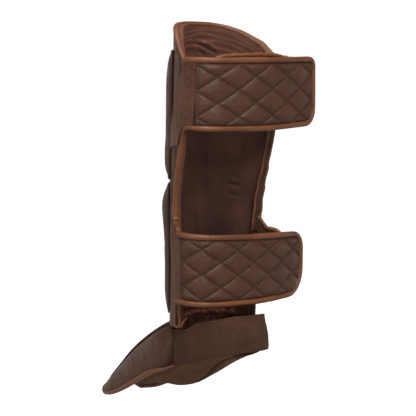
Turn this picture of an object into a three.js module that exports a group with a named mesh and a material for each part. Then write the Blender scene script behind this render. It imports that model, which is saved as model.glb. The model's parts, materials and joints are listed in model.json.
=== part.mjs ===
// A shin and instep guard for kick boxing, one of a pair, standing as it does on a leg.
// Millimetres. +Z runs up the leg, -Y points to the toes and +Y to the calf.
// +X is the side from which the wide straps come.
// The origin is on the leg's centre line at the height of the ankle crease.
import * as THREE from 'three';

// Driving dimensions
const GAP = 0.3; // between faces that lie on each other
const SEAM = 0.5; // between pieces that meet edge to edge
const LAY = 0.7; // between a laid-on piece and the curved face under it
const SHIN_LOW = -3; // lower edge of the shin shell
const SHELL_EDGE = 7.5; // foam thickness at the free edges
const SHELL_FRONT = 13; // foam thickness over the shin bone
const LINING_WALL = 1.2;
const PANEL_WALL = 1.8; // suede laid over the sides
const STRAP_WALL = 6.5; // quilted leather on thin foam
const FLAP_WALL = 4; // elastic under-strap
const BAND_WALL = 2; // stretch fabric of the heel and sole bands
const HEEL_LEAN = 0.1; // the heel band's upper edge is this much narrower than its lower one
const INSTEP_WALL = 9;
const INSTEP_EDGE = 4;
const RIDGE_WALL = 3.6; // raised pad along the middle of the instep
const ANKLE_GATHER = { low: -15, high: 13, wall: 2.2 }; // gathered cloth inside the ankle
const STRAP_BINDING = { width: 5.5, thick: 8 };
const EDGE_BINDING = { width: 3.6 };
const ANKLE_BINDING_WIDTH = 3;
const FLAP_BINDING = { width: 4, thick: 5 };
const INSTEP_BINDING = { width: 4.5, thick: 6 };
const BAND_BINDING = { width: 3, thick: 3.6 };

// Outer face of the shin shell at heights up the leg, with the depth counted forward of its centre
const SHIN_SECTIONS = [
  { z: 0, half: 66, front: 64, centre: -3 },
  { z: 40, half: 67, front: 65, centre: 0 },
  { z: 75, half: 69, front: 66, centre: 3 },
  { z: 150, half: 74, front: 70, centre: 9 },
  { z: 200, half: 77, front: 73, centre: 15 },
  { z: 250, half: 78, front: 75, centre: 21 },
  { z: 300, half: 78, front: 75, centre: 22 },
  { z: 390, half: 76, front: 74, centre: 22 },
];

// The shell's side edges, as angles from the front
const SIDE_EDGES = [
  { z: 0, near: 84, far: -84 },
  { z: 75, near: 78, far: -80 },
  { z: 150, near: 73, far: -78 },
  { z: 200, near: 78, far: -80 },
  { z: 250, near: 83, far: -84 },
  { z: 300, near: 86, far: -86 },
  { z: 390, near: 89, far: -88 },
];

// Height of the upper rim, by angle from the front
const RIM = [
  { angle: -88, z: 342 },
  { angle: -73, z: 357 },
  { angle: -46, z: 373 },
  { angle: -20, z: 381 },
  { angle: 0, z: 383 },
  { angle: 30, z: 383 },
  { angle: 52, z: 378 },
  { angle: 70, z: 362 },
  { angle: 89, z: 337 },
];

// Raised pads on the front; the crown is extra thickness near the upper end
const FRONT_PADS = [
  { name: 'front_pad_upper', low: 187, high: 352, spread: 61, thick: 10.5, crown: 0 },
  { name: 'front_pad_lower', low: 10, high: 181, spread: 58, thick: 10.5, crown: 4.5 },
];

// Suede panels on the sides: front seam as angles at the low and high end
const SIDE_PANELS = [
  { name: 'side_panel_upper_near', low: 232, high: 338, lowAngle: 63, highAngle: 82, side: 'near' },
  { name: 'side_panel_lower_near', low: 8, high: 138, lowAngle: 60, highAngle: 60, side: 'near' },
  { name: 'side_panel_upper_far', low: 232, high: 344, lowAngle: -63, highAngle: -78, side: 'far' },
  { name: 'side_panel_lower_far', low: 8, high: 138, lowAngle: -60, highAngle: -60, side: 'far' },
];

// Stretches of the side edges that carry a binding
const EDGE_RUNS = [
  { name: 'edge_binding_near_upper', side: 'near', low: 124, high: 252 },
  { name: 'edge_binding_near_ankle', side: 'near', low: -2, high: 26 },
  { name: 'edge_binding_far_upper', side: 'far', low: 137, high: 243 },
  { name: 'edge_binding_far_ankle', side: 'far', low: -2, high: 30 },
];

// Wide straps on the near side: plan of the outer face from the shell's edge round the calf to the free end
const STRAPS = [
  {
    name: 'upper_strap', root: 28, low: 259.5, high: 340, endLow: 258, endHigh: 337, sag: 3,
    cornerLow: 6, cornerHigh: 6, columns: 18,
    plan: [[81, 12], [80, 30], [74, 43], [57, 53.5], [26, 61], [-25, 68], [-77, 63.5], [-110, 56]],
  },
  {
    name: 'lower_strap', root: 16, low: 34, high: 117, endLow: 35, endHigh: 105, sag: 1,
    cornerLow: 18, cornerHigh: 11, columns: 18,
    plan: [[70.5, -12], [71.5, 5], [69, 20], [60, 33], [38, 42], [11, 46], [-39, 46], [-84, 37], [-117, 27]],
  },
];

// Elastic under-straps from the far side, which pass inside the wide straps
const FLAPS = [
  {
    name: 'upper_flap', low: 260, high: 346, rootLow: 250, rootHigh: 342,
    plan: [
      [-78, 12], [-81, 22], [-87, 31], [-94, 39], [-96, 46], [-88, 51],
      [-72, 53], [-25, 58.6], [22, 51], [46, 45.2], [56, 40],
    ],
  },
  {
    name: 'lower_flap', low: 38, high: 112, rootLow: 38, rootHigh: 130,
    plan: [
      [-68, -12], [-71, -4], [-78, 5], [-86, 13], [-88, 20], [-80, 25.6],
      [-62, 30.5], [-36, 36], [10, 36], [34, 33], [48, 26],
    ],
  },
];

// Instep pad from the ankle to the toes: crest and side edge of each section; a low shoulder is a square one
const INSTEP = [
  { crestY: -63.5, crestZ: -6.4, half: 52, edgeY: -35, edgeZ: -59, shoulder: 0.15 },
  { crestY: -95, crestZ: -18, half: 51, edgeY: -57, edgeZ: -67, shoulder: 0.5 },
  { crestY: -129, crestZ: -36, half: 49, edgeY: -90, edgeZ: -77, shoulder: 0.85 },
  { crestY: -162, crestZ: -58, half: 47, edgeY: -124, edgeZ: -94, shoulder: 1 },
  { crestY: -190, crestZ: -83, half: 44, edgeY: -156, edgeZ: -110, shoulder: 1 },
  { crestY: -213, crestZ: -104, half: 40, edgeY: -188, edgeZ: -123, shoulder: 1 },
  { crestY: -226, crestZ: -116, half: 33, edgeY: -213, edgeZ: -128, shoulder: 1 },
];

// Heel band from the near seam round the heel to the far seam
const HEEL = [
  { x: 52, y: -34.2, low: -58, high: -13 },
  { x: 56, y: -8, low: -52, high: -9 },
  { x: 54, y: 12, low: -47, high: 3 },
  { x: 46, y: 40, low: -38, high: 9 },
  { x: 26, y: 61, low: -34, high: 12 },
  { x: 0, y: 67, low: -33, high: 12 },
  { x: -26, y: 61, low: -34, high: 11 },
  { x: -46, y: 40, low: -38, high: 5 },
  { x: -54, y: 12, low: -47, high: 1 },
  { x: -56, y: -8, low: -52, high: -9 },
  { x: -52, y: -34.2, low: -58, high: -13 },
];

// Sole band under the foot, from the ball of the foot to the heel
const SOLE = [
  { y: -141, half: 38.5, edge: -99, sag: 6 },
  { y: -104, half: 40.5, edge: -82, sag: 17 },
  { y: -70, half: 43, edge: -70, sag: 26 },
  { y: -36, half: 45, edge: -58, sag: 24 },
  { y: 0, half: 51, edge: -47, sag: 12 },
  { y: 30, half: 45.5, edge: -37, sag: 7 },
  { y: 50, half: 30.5, edge: -31, sag: 7 },
];

const { clamp, lerp, degToRad: radians } = THREE.MathUtils;

// The value of a column at a place, eased through the rows
function lookUp(rows, key, at, column) {
  const last = rows.length - 1;
  if (at <= rows[0][key]) return rows[0][column];
  if (at >= rows[last][key]) return rows[last][column];
  const i = rows.findIndex((row) => row[key] > at) - 1;
  const share = (at - rows[i][key]) / (rows[i + 1][key] - rows[i][key]);
  const before = rows[Math.max(i - 1, 0)][column];
  const after = rows[Math.min(i + 2, last)][column];
  return ease(before, rows[i][column], rows[i + 1][column], after, share);
}

function ease(a, b, c, d, t) {
  const slopeB = (c - a) / 2;
  const slopeC = (d - b) / 2;
  const square = 3 * (c - b) - 2 * slopeB - slopeC;
  const cube = slopeB + slopeC - 2 * (c - b);
  return b + slopeB * t + square * t ** 2 + cube * t ** 3;
}

// The value of a column a share of the way down a table, eased through the rows
function along(rows, share, column) {
  const place = clamp(share, 0, 1) * (rows.length - 1);
  const i = Math.min(Math.floor(place), rows.length - 2);
  const before = rows[Math.max(i - 1, 0)][column];
  const after = rows[Math.min(i + 2, rows.length - 1)][column];
  return ease(before, rows[i][column], rows[i + 1][column], after, place - i);
}

function tangent(surface, u, v, du, dv) {
  const ahead = surface(clamp(u + du, 0, 1), clamp(v + dv, 0, 1));
  return ahead.sub(surface(clamp(u - du, 0, 1), clamp(v - dv, 0, 1))).normalize();
}

function normalAt(surface, u, v) {
  const step = 1e-3;
  return tangent(surface, u, v, step, 0).cross(tangent(surface, u, v, 0, step)).normalize();
}

// A closed wall with its outer face on a surface and its inner face `thick` below
function wall(surface, columns, rows, thick) {
  return layer(surface, columns, rows, () => 0, (u, v) => -thick(u, v));
}

// A closed pad with its inner face `raise` above a surface and its outer face `swell` above that
function pad(surface, columns, rows, swell, raise) {
  return layer(surface, columns, rows, (u, v) => raise + swell(u, v), () => raise);
}

// A closed layer between two heights over a surface
function layer(surface, columns, rows, outer, inner) {
  const box = new THREE.BoxGeometry(1, 1, 1, columns, rows, 1);
  const at = box.attributes.position;
  for (let i = 0; i < at.count; i++) {
    const u = clamp(at.getX(i) + 0.5, 0, 1);
    const v = clamp(at.getY(i) + 0.5, 0, 1);
    const lift = at.getZ(i) > 0 ? outer(u, v) : inner(u, v);
    const place = surface(u, v).addScaledVector(normalAt(surface, u, v), lift);
    at.setXYZ(i, place.x, place.y, place.z);
  }
  return box;
}

// Rounded section of a binding: `out` runs from the bound edge outwards, `deep` across the thickness
function bindingSection({ width, thick }, seam = SEAM) {
  const half = thick / 2;
  return [
    { out: seam, deep: half * 0.85 },
    { out: seam, deep: -half * 0.85 },
    { out: width * 0.55, deep: -half },
    { out: width, deep: -half * 0.5 },
    { out: width, deep: half * 0.5 },
    { out: width * 0.55, deep: half },
  ];
}

// A closed bar along a row of stations, each with a place, an outward direction and a thickness direction
function bar(stations, section) {
  const places = [];
  const faces = [];
  const count = section.length;
  for (const { place, out, deep } of stations) {
    for (const corner of section) {
      const p = place.clone().addScaledVector(out, corner.out).addScaledVector(deep, corner.deep);
      places.push(p.x, p.y, p.z);
    }
  }
  for (let i = 0; i + 1 < stations.length; i++) {
    for (let k = 0; k < count; k++) {
      const a = i * count + k;
      const b = i * count + (k + 1) % count;
      faces.push(a, a + count, b, b, a + count, b + count);
    }
  }
  const end = (stations.length - 1) * count;
  for (let k = 1; k + 1 < count; k++) {
    faces.push(0, k, k + 1);
    faces.push(end, end + k + 1, end + k);
  }
  const geometry = new THREE.BufferGeometry();
  geometry.setAttribute('position', new THREE.Float32BufferAttribute(places, 3));
  geometry.setIndex(faces);
  return outward(geometry);
}

// Turns every face over where a closed body came out inside-out
function outward(geometry) {
  const at = geometry.attributes.position;
  const index = geometry.index;
  const [a, b, c] = [new THREE.Vector3(), new THREE.Vector3(), new THREE.Vector3()];
  let volume = 0;
  for (let i = 0; i < index.count; i += 3) {
    a.fromBufferAttribute(at, index.getX(i));
    b.fromBufferAttribute(at, index.getX(i + 1));
    c.fromBufferAttribute(at, index.getX(i + 2));
    volume += a.dot(b.cross(c));
  }
  if (volume < 0) {
    for (let i = 0; i < index.count; i += 3) {
      const first = index.getX(i);
      index.setX(i, index.getX(i + 2));
      index.setX(i + 2, first);
    }
  }
  return geometry;
}

function spread(count, from = 0, to = 1) {
  return Array.from({ length: count + 1 }, (_, i) => lerp(from, to, i / count));
}

const group = new THREE.Group();
const FINISHES = {
  leather: { color: 0x4a372d, roughness: 0.5 },
  pad: { color: 0x48352b, roughness: 0.5 },
  suede: { color: 0x5e3f31, roughness: 0.9 },
  binding: { color: 0x7d5233, roughness: 0.45 },
  lining: { color: 0x6e4437, roughness: 0.8 },
  stretch: { color: 0x4f3427, roughness: 0.85 },
};

function add(name, geometry, slot) {
  const material = new THREE.MeshStandardMaterial({ ...FINISHES[slot], metalness: 0 });
  material.name = slot;
  const mesh = new THREE.Mesh(outward(geometry), material);
  mesh.name = name;
  group.add(mesh);
}

// Shin shell

function shinPoint(degrees, z) {
  const half = lookUp(SHIN_SECTIONS, 'z', z, 'half');
  const front = lookUp(SHIN_SECTIONS, 'z', z, 'front');
  const centre = lookUp(SHIN_SECTIONS, 'z', z, 'centre');
  const a = radians(degrees);
  return new THREE.Vector3(half * Math.sin(a), centre - front * Math.cos(a), z);
}

const sideEdge = (z, side) => lookUp(SIDE_EDGES, 'z', z, side);

function shellSurface(u, v) {
  const guess = lerp(SHIN_LOW, 350, v);
  const degrees = lerp(sideEdge(guess, 'far'), sideEdge(guess, 'near'), u);
  const z = lerp(SHIN_LOW, lookUp(RIM, 'angle', degrees, 'z'), v);
  return shinPoint(degrees, z);
}

const foam = (u) => SHELL_EDGE + (SHELL_FRONT - SHELL_EDGE) * Math.sin(Math.PI * u) ** 0.8;
const shellColumns = 18;
const shellRows = 12;
add('shin_shell', wall(shellSurface, shellColumns, shellRows, foam), 'leather');

function liningSurface(u, v) {
  return shellSurface(u, v).addScaledVector(normalAt(shellSurface, u, v), -foam(u) - GAP);
}

add('shin_lining', wall(liningSurface, shellColumns, shellRows, () => LINING_WALL), 'lining');

// Pads and panels on the shell

for (const { name, low, high, spread: angle, thick, crown } of FRONT_PADS) {
  const face = (u, v) => shinPoint(lerp(-angle, angle, u), lerp(low, high, v));
  const swell = (u, v) => {
    const across = 1 - Math.abs(2 * u - 1) ** 4;
    const up = 1 - Math.abs(2 * v - 1) ** 6;
    const top = crown * Math.exp(-(((v - 0.85) / 0.16) ** 2));
    return 1.5 + (thick - 1.5 + top) * across * up;
  };
  add(name, pad(face, 12, 8, swell, LAY), 'pad');
}

for (const { name, low, high, lowAngle, highAngle, side } of SIDE_PANELS) {
  const inset = side === 'near' ? -1 : 1;
  const face = (u, v) => {
    const z = lerp(low, high, v);
    const seam = lerp(lowAngle, highAngle, v);
    const edge = sideEdge(z, side) + inset;
    return shinPoint(side === 'near' ? lerp(seam, edge, u) : lerp(edge, seam, u), z);
  };
  add(name, pad(face, 5, 8, () => PANEL_WALL, LAY), 'suede');
}

// Bindings of the shell's rim and side edges

function shellStation(u, v, du, dv) {
  const normal = normalAt(shellSurface, u, v);
  const depth = foam(u) + GAP + LINING_WALL;
  const place = shellSurface(u, v).addScaledVector(normal, -depth / 2);
  const out = tangent(shellSurface, u, v, 1e-3, 0).multiplyScalar(du);
  out.addScaledVector(tangent(shellSurface, u, v, 0, 1e-3), dv).normalize();
  const deep = normal.clone();
  return { place, out, deep, depth };
}

function shellBar(stations, width) {
  const flat = bindingSection({ width, thick: 2 }, LAY);
  for (const station of stations) station.deep.multiplyScalar(station.depth / 2);
  return bar(stations, flat);
}


function gatherSurface(u, v) {
  const at = lerp(0.12, 0.88, u);
  const degrees = lerp(sideEdge(0, 'far'), sideEdge(0, 'near'), at);
  const face = shinPoint(degrees, lerp(ANKLE_GATHER.low, ANKLE_GATHER.high, v));
  const inwards = foam(at) + GAP + LINING_WALL + LAY;
  return face.addScaledVector(normalAt(shellSurface, at, 0), -inwards);
}

add('ankle_gather', wall(gatherSurface, shellColumns, 3, () => ANKLE_GATHER.wall), 'lining');

const heightToShare = (z) => (z - SHIN_LOW) / (lookUp(RIM, 'angle', 80, 'z') - SHIN_LOW);
const rim = spread(shellColumns).map((u) => shellStation(u, 1, 0, 1));
add('rim_binding', shellBar(rim, EDGE_BINDING.width), 'binding');
const hem = spread(20, 0.03, 0.97).map((u) => shellStation(u, 0, 0, -1));
add('ankle_binding', shellBar(hem, ANKLE_BINDING_WIDTH), 'binding');
for (const { name, side, low, high } of EDGE_RUNS) {
  const [u, du] = side === 'near' ? [1, 1] : [0, -1];
  const ends = [heightToShare(low), heightToShare(high)];
  const inner = spread(shellRows).filter((v) => v > ends[0] + 0.01 && v < ends[1] - 0.01);
  const stations = [ends[0], ...inner, ends[1]].map((v) => shellStation(u, v, du, 0));
  add(name, shellBar(stations, EDGE_BINDING.width), 'binding');
}

// Straps and under-straps

function planCurve(plan) {
  return new THREE.CatmullRomCurve3(plan.map(([x, y]) => new THREE.Vector3(x, y, 0)), false, 'centripetal');
}

// Distance along a plan at which it clears the shell's side edge
function startAt(plan, z, side) {
  return shinPoint(sideEdge(z, side), z).y + SEAM + LAY - plan[0][1];
}

function cornerCut(fromEnd, radius) {
  return fromEnd < radius ? radius - Math.sqrt(radius ** 2 - (radius - fromEnd) ** 2) : 0;
}

for (const strap of STRAPS) {
  const path = planCurve(strap.plan);
  const length = path.getLength();
  const sheet = (distance, z) => {
    const p = path.getPointAt(clamp(distance / length, 0, 1));
    p.z = z;
    return p;
  };
  const lowAt = (s) => lerp(strap.low, strap.endLow, s / length) - strap.sag * Math.sin(Math.PI * s / length);
  const highAt = (s) => lerp(strap.high, strap.endHigh, s / length);
  const edge = (v) => startAt(strap.plan, lerp(strap.low, strap.high, v), 'near');
  const face = (from, to) => (u, v) => {
    const s = lerp(from(v), to, u);
    const low = lowAt(s) + cornerCut(length - s, strap.cornerLow);
    const high = highAt(s) - cornerCut(length - s, strap.cornerHigh);
    return sheet(s, lerp(low, high, v));
  };
  const columns = strap.columns;
  const bend = (u) => 1 - (1 - u) ** 1.6;
  const body = face(() => strap.root + SEAM, length);
  add(strap.name, wall((u, v) => body(bend(u), v), columns, 4, () => STRAP_WALL), 'leather');
  add(`${strap.name}_root`, wall(face(edge, strap.root), 3, 3, () => STRAP_WALL), 'suede');

  // the binding follows the upper edge, the free end and the lower edge
  const outline = [];
  const round = 8;
  for (const s of spread(columns, edge(1) + SEAM, length - strap.cornerHigh)) {
    outline.push({ s, z: highAt(s), os: 0, oz: 1 });
  }
  for (const a of spread(round).slice(1)) {
    const turn = a * Math.PI / 2;
    const r = strap.cornerHigh;
    const s = length - r + r * Math.sin(turn);
    outline.push({ s, z: highAt(s) - cornerCut(length - s, r), os: Math.sin(turn), oz: Math.cos(turn) });
  }
  for (const a of spread(round)) {
    const turn = a * Math.PI / 2;
    const r = strap.cornerLow;
    const s = length - r + r * Math.cos(turn);
    outline.push({ s, z: lowAt(s) + cornerCut(length - s, r), os: Math.cos(turn), oz: -Math.sin(turn) });
  }
  for (const s of spread(columns, length - strap.cornerLow, edge(0) + SEAM).slice(1)) {
    outline.push({ s, z: lowAt(s), os: 0, oz: -1 });
  }
  const stations = outline.map(({ s, z, os, oz }) => {
    const run = path.getTangentAt(clamp(s / length, 0, 1));
    const deep = run.clone().cross(new THREE.Vector3(0, 0, 1));
    const out = run.multiplyScalar(os).add(new THREE.Vector3(0, 0, oz));
    return { place: sheet(s, z).addScaledVector(deep, -STRAP_WALL / 2), out, deep };
  });
  add(`${strap.name}_binding`, bar(stations, bindingSection(STRAP_BINDING)), 'binding');
}

for (const flap of FLAPS) {
  const path = planCurve(flap.plan);
  const face = (u, v) => {
    const settle = THREE.MathUtils.smoothstep(u, 0, 0.25);
    const low = lerp(flap.rootLow, flap.low, settle);
    const high = lerp(flap.rootHigh, flap.high, settle);
    const start = startAt(flap.plan, lerp(low, high, v), 'far') / path.getLength();
    const p = path.getPointAt(clamp(lerp(start, 1, u), 0, 1));
    p.z = lerp(low, high, v);
    return p;
  };
  add(flap.name, wall((u, v) => face(1 - u, v), 22, 3, () => FLAP_WALL), 'stretch');
  for (const [edge, v, oz] of [['top', 1, 1], ['bottom', 0, -1]]) {
    const stations = spread(22).map((u) => {
      const deep = path.getTangentAt(u).cross(new THREE.Vector3(0, 0, -1));
      const place = face(u, v).addScaledVector(deep, -FLAP_WALL / 2);
      return { place, out: new THREE.Vector3(0, 0, oz), deep };
    });
    add(`${flap.name}_binding_${edge}`, bar(stations, bindingSection(FLAP_BINDING, LAY)), 'binding');
  }
}

// Foot: instep pad, its ridge and binding, heel band and sole band

function instepSurface(u, v) {
  const turn = radians(lerp(90, -90, u));
  const section = (column) => along(INSTEP, v, column);
  const flat = Math.sign(Math.sin(turn)) * Math.abs(Math.sin(turn)) ** 0.85;
  const y = lerp(section('edgeY'), section('crestY'), Math.cos(turn));
  const rise = Math.max(Math.cos(turn), 0) ** section('shoulder');
  const z = lerp(section('edgeZ'), section('crestZ'), rise);
  return new THREE.Vector3(section('half') * flat, y, z);
}

function instepThick(u, v) {
  const across = Math.sin(Math.PI * u) ** 0.6;
  return lerp(INSTEP_EDGE, INSTEP_WALL, across) * lerp(1, 0.6, v ** 4);
}

add('instep_pad', wall(instepSurface, 14, 12, instepThick), 'leather');
const ridgeSurface = (u, v) => instepSurface(lerp(0.36, 0.64, u), lerp(0.04, 0.93, v));

function ridgeSwell(u, v) {
  const across = 1 - Math.abs(2 * u - 1) ** 3;
  const down = 1 - Math.abs(2 * v - 1) ** 8;
  return 1 + (RIDGE_WALL - 1) * across * down;
}

add('instep_ridge', pad(ridgeSurface, 6, 12, ridgeSwell, LAY), 'pad');

function instepStation(u, v, du, dv) {
  const normal = normalAt(instepSurface, u, v);
  const thick = instepThick(u, v);
  const place = instepSurface(u, v).addScaledVector(normal, -thick / 2);
  const out = tangent(instepSurface, u, v, 1e-3, 0).multiplyScalar(du);
  out.addScaledVector(tangent(instepSurface, u, v, 0, 1e-3), dv).normalize();
  return { place, out, deep: normal };
}

const instepEdge = [
  ...spread(14, 0.02, 0.98).map((v) => instepStation(0, v, -1, 0)),
  instepStation(0, 1, -1, 1),
  ...spread(14, 0.04, 0.96).map((u) => instepStation(u, 1, 0, 1)),
  instepStation(1, 1, 1, 1),
  ...spread(14, 0.98, 0.02).map((v) => instepStation(1, v, 1, 0)),
];
add('instep_binding', bar(instepEdge, bindingSection(INSTEP_BINDING)), 'binding');

function heelSurface(u, v) {
  const point = (column) => along(HEEL, u, column);
  const lean = 1 - HEEL_LEAN * v * Math.sin(Math.PI * u);
  return new THREE.Vector3(point('x') * lean, point('y') * lean, lerp(point('low'), point('high'), v));
}

add('heel_band', wall(heelSurface, 24, 3, () => BAND_WALL), 'stretch');
const heelTop = spread(24).map((u) => {
  const deep = normalAt(heelSurface, u, 1);
  const place = heelSurface(u, 1).addScaledVector(deep, -BAND_WALL / 2);
  return { place, out: new THREE.Vector3(0, 0, 1), deep };
});
add('heel_band_binding', bar(heelTop, bindingSection(BAND_BINDING)), 'binding');

function soleSurface(u, v) {
  const across = lerp(-1, 1, u);
  const row = (column) => along(SOLE, v, column);
  const z = row('edge') - row('sag') * (1 - across ** 2) ** 0.8;
  return new THREE.Vector3(row('half') * across, row('y'), z);
}

add('sole_band', wall(soleSurface, 12, 10, () => BAND_WALL), 'stretch');
for (const [name, v, out] of [['front', 0, -1], ['rear', 1, 1]]) {
  const stations = spread(14).map((u) => {
    const deep = normalAt(soleSurface, u, v);
    return {
      place: soleSurface(u, v).addScaledVector(deep, -BAND_WALL / 2),
      out: tangent(soleSurface, u, v, 0, 1e-3).multiplyScalar(out),
      deep,
    };
  });
  add(`sole_band_binding_${name}`, bar(stations, bindingSection(BAND_BINDING)), 'binding');
}

export default group;
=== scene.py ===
"""Dresses the frame of a shin and instep guard: quilted straps, foam pads, bindings, lining and foot bands."""

import json
import math

import bpy
import numpy as np
from bpy.props import FloatProperty, FloatVectorProperty, IntProperty, PointerProperty
from mathutils import Vector
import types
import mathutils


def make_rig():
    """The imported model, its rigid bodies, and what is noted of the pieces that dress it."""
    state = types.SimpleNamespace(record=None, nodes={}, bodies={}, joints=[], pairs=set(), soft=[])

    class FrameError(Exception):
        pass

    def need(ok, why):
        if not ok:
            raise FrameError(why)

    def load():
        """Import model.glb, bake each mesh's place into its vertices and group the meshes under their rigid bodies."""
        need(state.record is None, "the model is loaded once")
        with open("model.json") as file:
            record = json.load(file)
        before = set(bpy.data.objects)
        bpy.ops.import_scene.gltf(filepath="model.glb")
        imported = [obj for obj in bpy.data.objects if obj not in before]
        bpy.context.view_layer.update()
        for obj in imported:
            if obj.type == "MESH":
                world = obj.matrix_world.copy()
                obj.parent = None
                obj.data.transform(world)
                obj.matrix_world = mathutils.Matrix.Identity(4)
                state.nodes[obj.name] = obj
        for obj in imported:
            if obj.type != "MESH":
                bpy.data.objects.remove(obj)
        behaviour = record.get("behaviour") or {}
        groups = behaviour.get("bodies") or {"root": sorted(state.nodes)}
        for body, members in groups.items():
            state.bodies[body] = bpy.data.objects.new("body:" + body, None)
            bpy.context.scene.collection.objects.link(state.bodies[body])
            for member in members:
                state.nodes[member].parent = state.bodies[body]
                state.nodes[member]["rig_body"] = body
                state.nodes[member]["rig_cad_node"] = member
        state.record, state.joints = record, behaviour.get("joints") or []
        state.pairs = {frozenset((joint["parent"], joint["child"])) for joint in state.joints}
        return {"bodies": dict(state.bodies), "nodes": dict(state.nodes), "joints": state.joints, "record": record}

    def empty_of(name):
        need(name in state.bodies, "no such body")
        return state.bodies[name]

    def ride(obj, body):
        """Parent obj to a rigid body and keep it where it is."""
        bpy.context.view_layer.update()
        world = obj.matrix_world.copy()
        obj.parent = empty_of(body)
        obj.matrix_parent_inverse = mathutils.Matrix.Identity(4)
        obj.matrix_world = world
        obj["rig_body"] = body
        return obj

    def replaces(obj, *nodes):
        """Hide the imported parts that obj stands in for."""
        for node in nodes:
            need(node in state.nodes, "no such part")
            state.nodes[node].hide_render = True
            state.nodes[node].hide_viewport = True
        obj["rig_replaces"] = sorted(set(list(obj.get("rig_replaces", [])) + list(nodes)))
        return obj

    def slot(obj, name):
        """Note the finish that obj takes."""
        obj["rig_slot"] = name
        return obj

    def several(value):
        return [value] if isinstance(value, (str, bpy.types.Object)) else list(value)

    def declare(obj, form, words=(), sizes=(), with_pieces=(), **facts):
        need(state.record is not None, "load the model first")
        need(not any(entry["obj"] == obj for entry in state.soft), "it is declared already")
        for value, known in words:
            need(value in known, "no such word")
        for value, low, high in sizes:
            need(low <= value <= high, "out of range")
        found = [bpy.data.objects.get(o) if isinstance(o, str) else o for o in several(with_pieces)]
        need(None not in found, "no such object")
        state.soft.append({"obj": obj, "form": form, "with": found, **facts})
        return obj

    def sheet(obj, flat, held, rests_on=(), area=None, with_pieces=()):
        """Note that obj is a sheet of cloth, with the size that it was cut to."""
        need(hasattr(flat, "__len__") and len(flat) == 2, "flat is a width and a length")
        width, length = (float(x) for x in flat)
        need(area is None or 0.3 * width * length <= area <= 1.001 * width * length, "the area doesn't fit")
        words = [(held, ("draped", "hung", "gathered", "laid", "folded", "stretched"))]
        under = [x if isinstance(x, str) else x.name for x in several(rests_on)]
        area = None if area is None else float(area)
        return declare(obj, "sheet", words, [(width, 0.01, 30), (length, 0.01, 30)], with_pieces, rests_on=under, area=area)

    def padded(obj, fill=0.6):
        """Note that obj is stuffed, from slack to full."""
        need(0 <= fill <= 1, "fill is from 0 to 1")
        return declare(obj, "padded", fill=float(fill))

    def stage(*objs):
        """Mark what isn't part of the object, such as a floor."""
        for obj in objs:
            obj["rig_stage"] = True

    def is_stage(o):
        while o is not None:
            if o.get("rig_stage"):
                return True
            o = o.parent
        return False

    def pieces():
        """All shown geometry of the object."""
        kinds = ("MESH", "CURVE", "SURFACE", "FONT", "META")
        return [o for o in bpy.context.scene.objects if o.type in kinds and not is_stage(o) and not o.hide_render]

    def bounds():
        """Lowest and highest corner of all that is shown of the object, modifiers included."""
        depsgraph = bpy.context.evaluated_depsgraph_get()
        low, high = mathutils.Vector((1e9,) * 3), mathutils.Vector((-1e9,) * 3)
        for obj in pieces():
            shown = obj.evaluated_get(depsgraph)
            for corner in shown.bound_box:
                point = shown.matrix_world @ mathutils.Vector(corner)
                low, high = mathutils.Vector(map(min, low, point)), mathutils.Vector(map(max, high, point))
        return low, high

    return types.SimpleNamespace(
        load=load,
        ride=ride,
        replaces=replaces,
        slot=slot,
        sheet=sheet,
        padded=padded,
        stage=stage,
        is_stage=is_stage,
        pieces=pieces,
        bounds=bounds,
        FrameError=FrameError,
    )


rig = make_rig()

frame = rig.load()
cad_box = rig.bounds()

bl_info = {
    "name": "Shin and instep guard",
    "version": (1, 0, 0),
    "blender": (4, 5, 0),
    "location": "View3D > Sidebar > Guard",
    "description": "Builds the leather, quilting, bindings, lining and foot bands of a shin and instep guard",
    "category": "Add Mesh",
}

# The guard's tables, in millimetres and degrees. +Z runs up the leg, -Y points to the toes.

SHIN_LOW = -3
SHELL_EDGE = 7.5
SHELL_FRONT = 13
LINING_GAP = 0.3
LINING_WALL = 1.2
STRAP_WALL = 6.5
STRAP_BINDING = 3.7  # half the width of a strap's binding
FLAP_WALL = 4
BAND_WALL = 2
LAY = 0.7
# width and height of the cloths' own grids
SHELL_GRID = (218, 370)
LINING_WIDTH = 190
GATHER_WIDTH = 150
INSTEP_GRID = (165, 196)
RIDGE_GRID = (50, 175)
HEEL_GRID = (290, 46)
SOLE_GRID = (96, 215)
DEGREE = 1.35  # length of a degree round the shin
SEAM_TWINS = (1.6, 5.2)  # the two seams where a strap's quilting starts

# height, half width, depth forward of the centre, centre
SHIN_SECTIONS = [
    (0, 66, 64, -3), (40, 67, 65, 0), (75, 69, 66, 3), (150, 74, 70, 9),
    (200, 77, 73, 15), (250, 78, 75, 21), (300, 78, 75, 22), (390, 76, 74, 22),
]
# height, near edge, far edge
SIDE_EDGES = [
    (0, 84, -84), (75, 78, -80), (150, 73, -78), (200, 78, -80),
    (250, 83, -84), (300, 86, -86), (390, 89, -88),
]
# angle from the front, height
RIM = [
    (-88, 342), (-73, 357), (-46, 373), (-20, 381), (0, 383),
    (30, 383), (52, 378), (70, 362), (89, 337),
]
# low, high, half spread in degrees, thickness, crown near the top
FRONT_PADS = {
    "front_pad_upper": (187, 352, 61, 10.5, 0),
    "front_pad_lower": (10, 181, 58, 10.5, 4.5),
}
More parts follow.
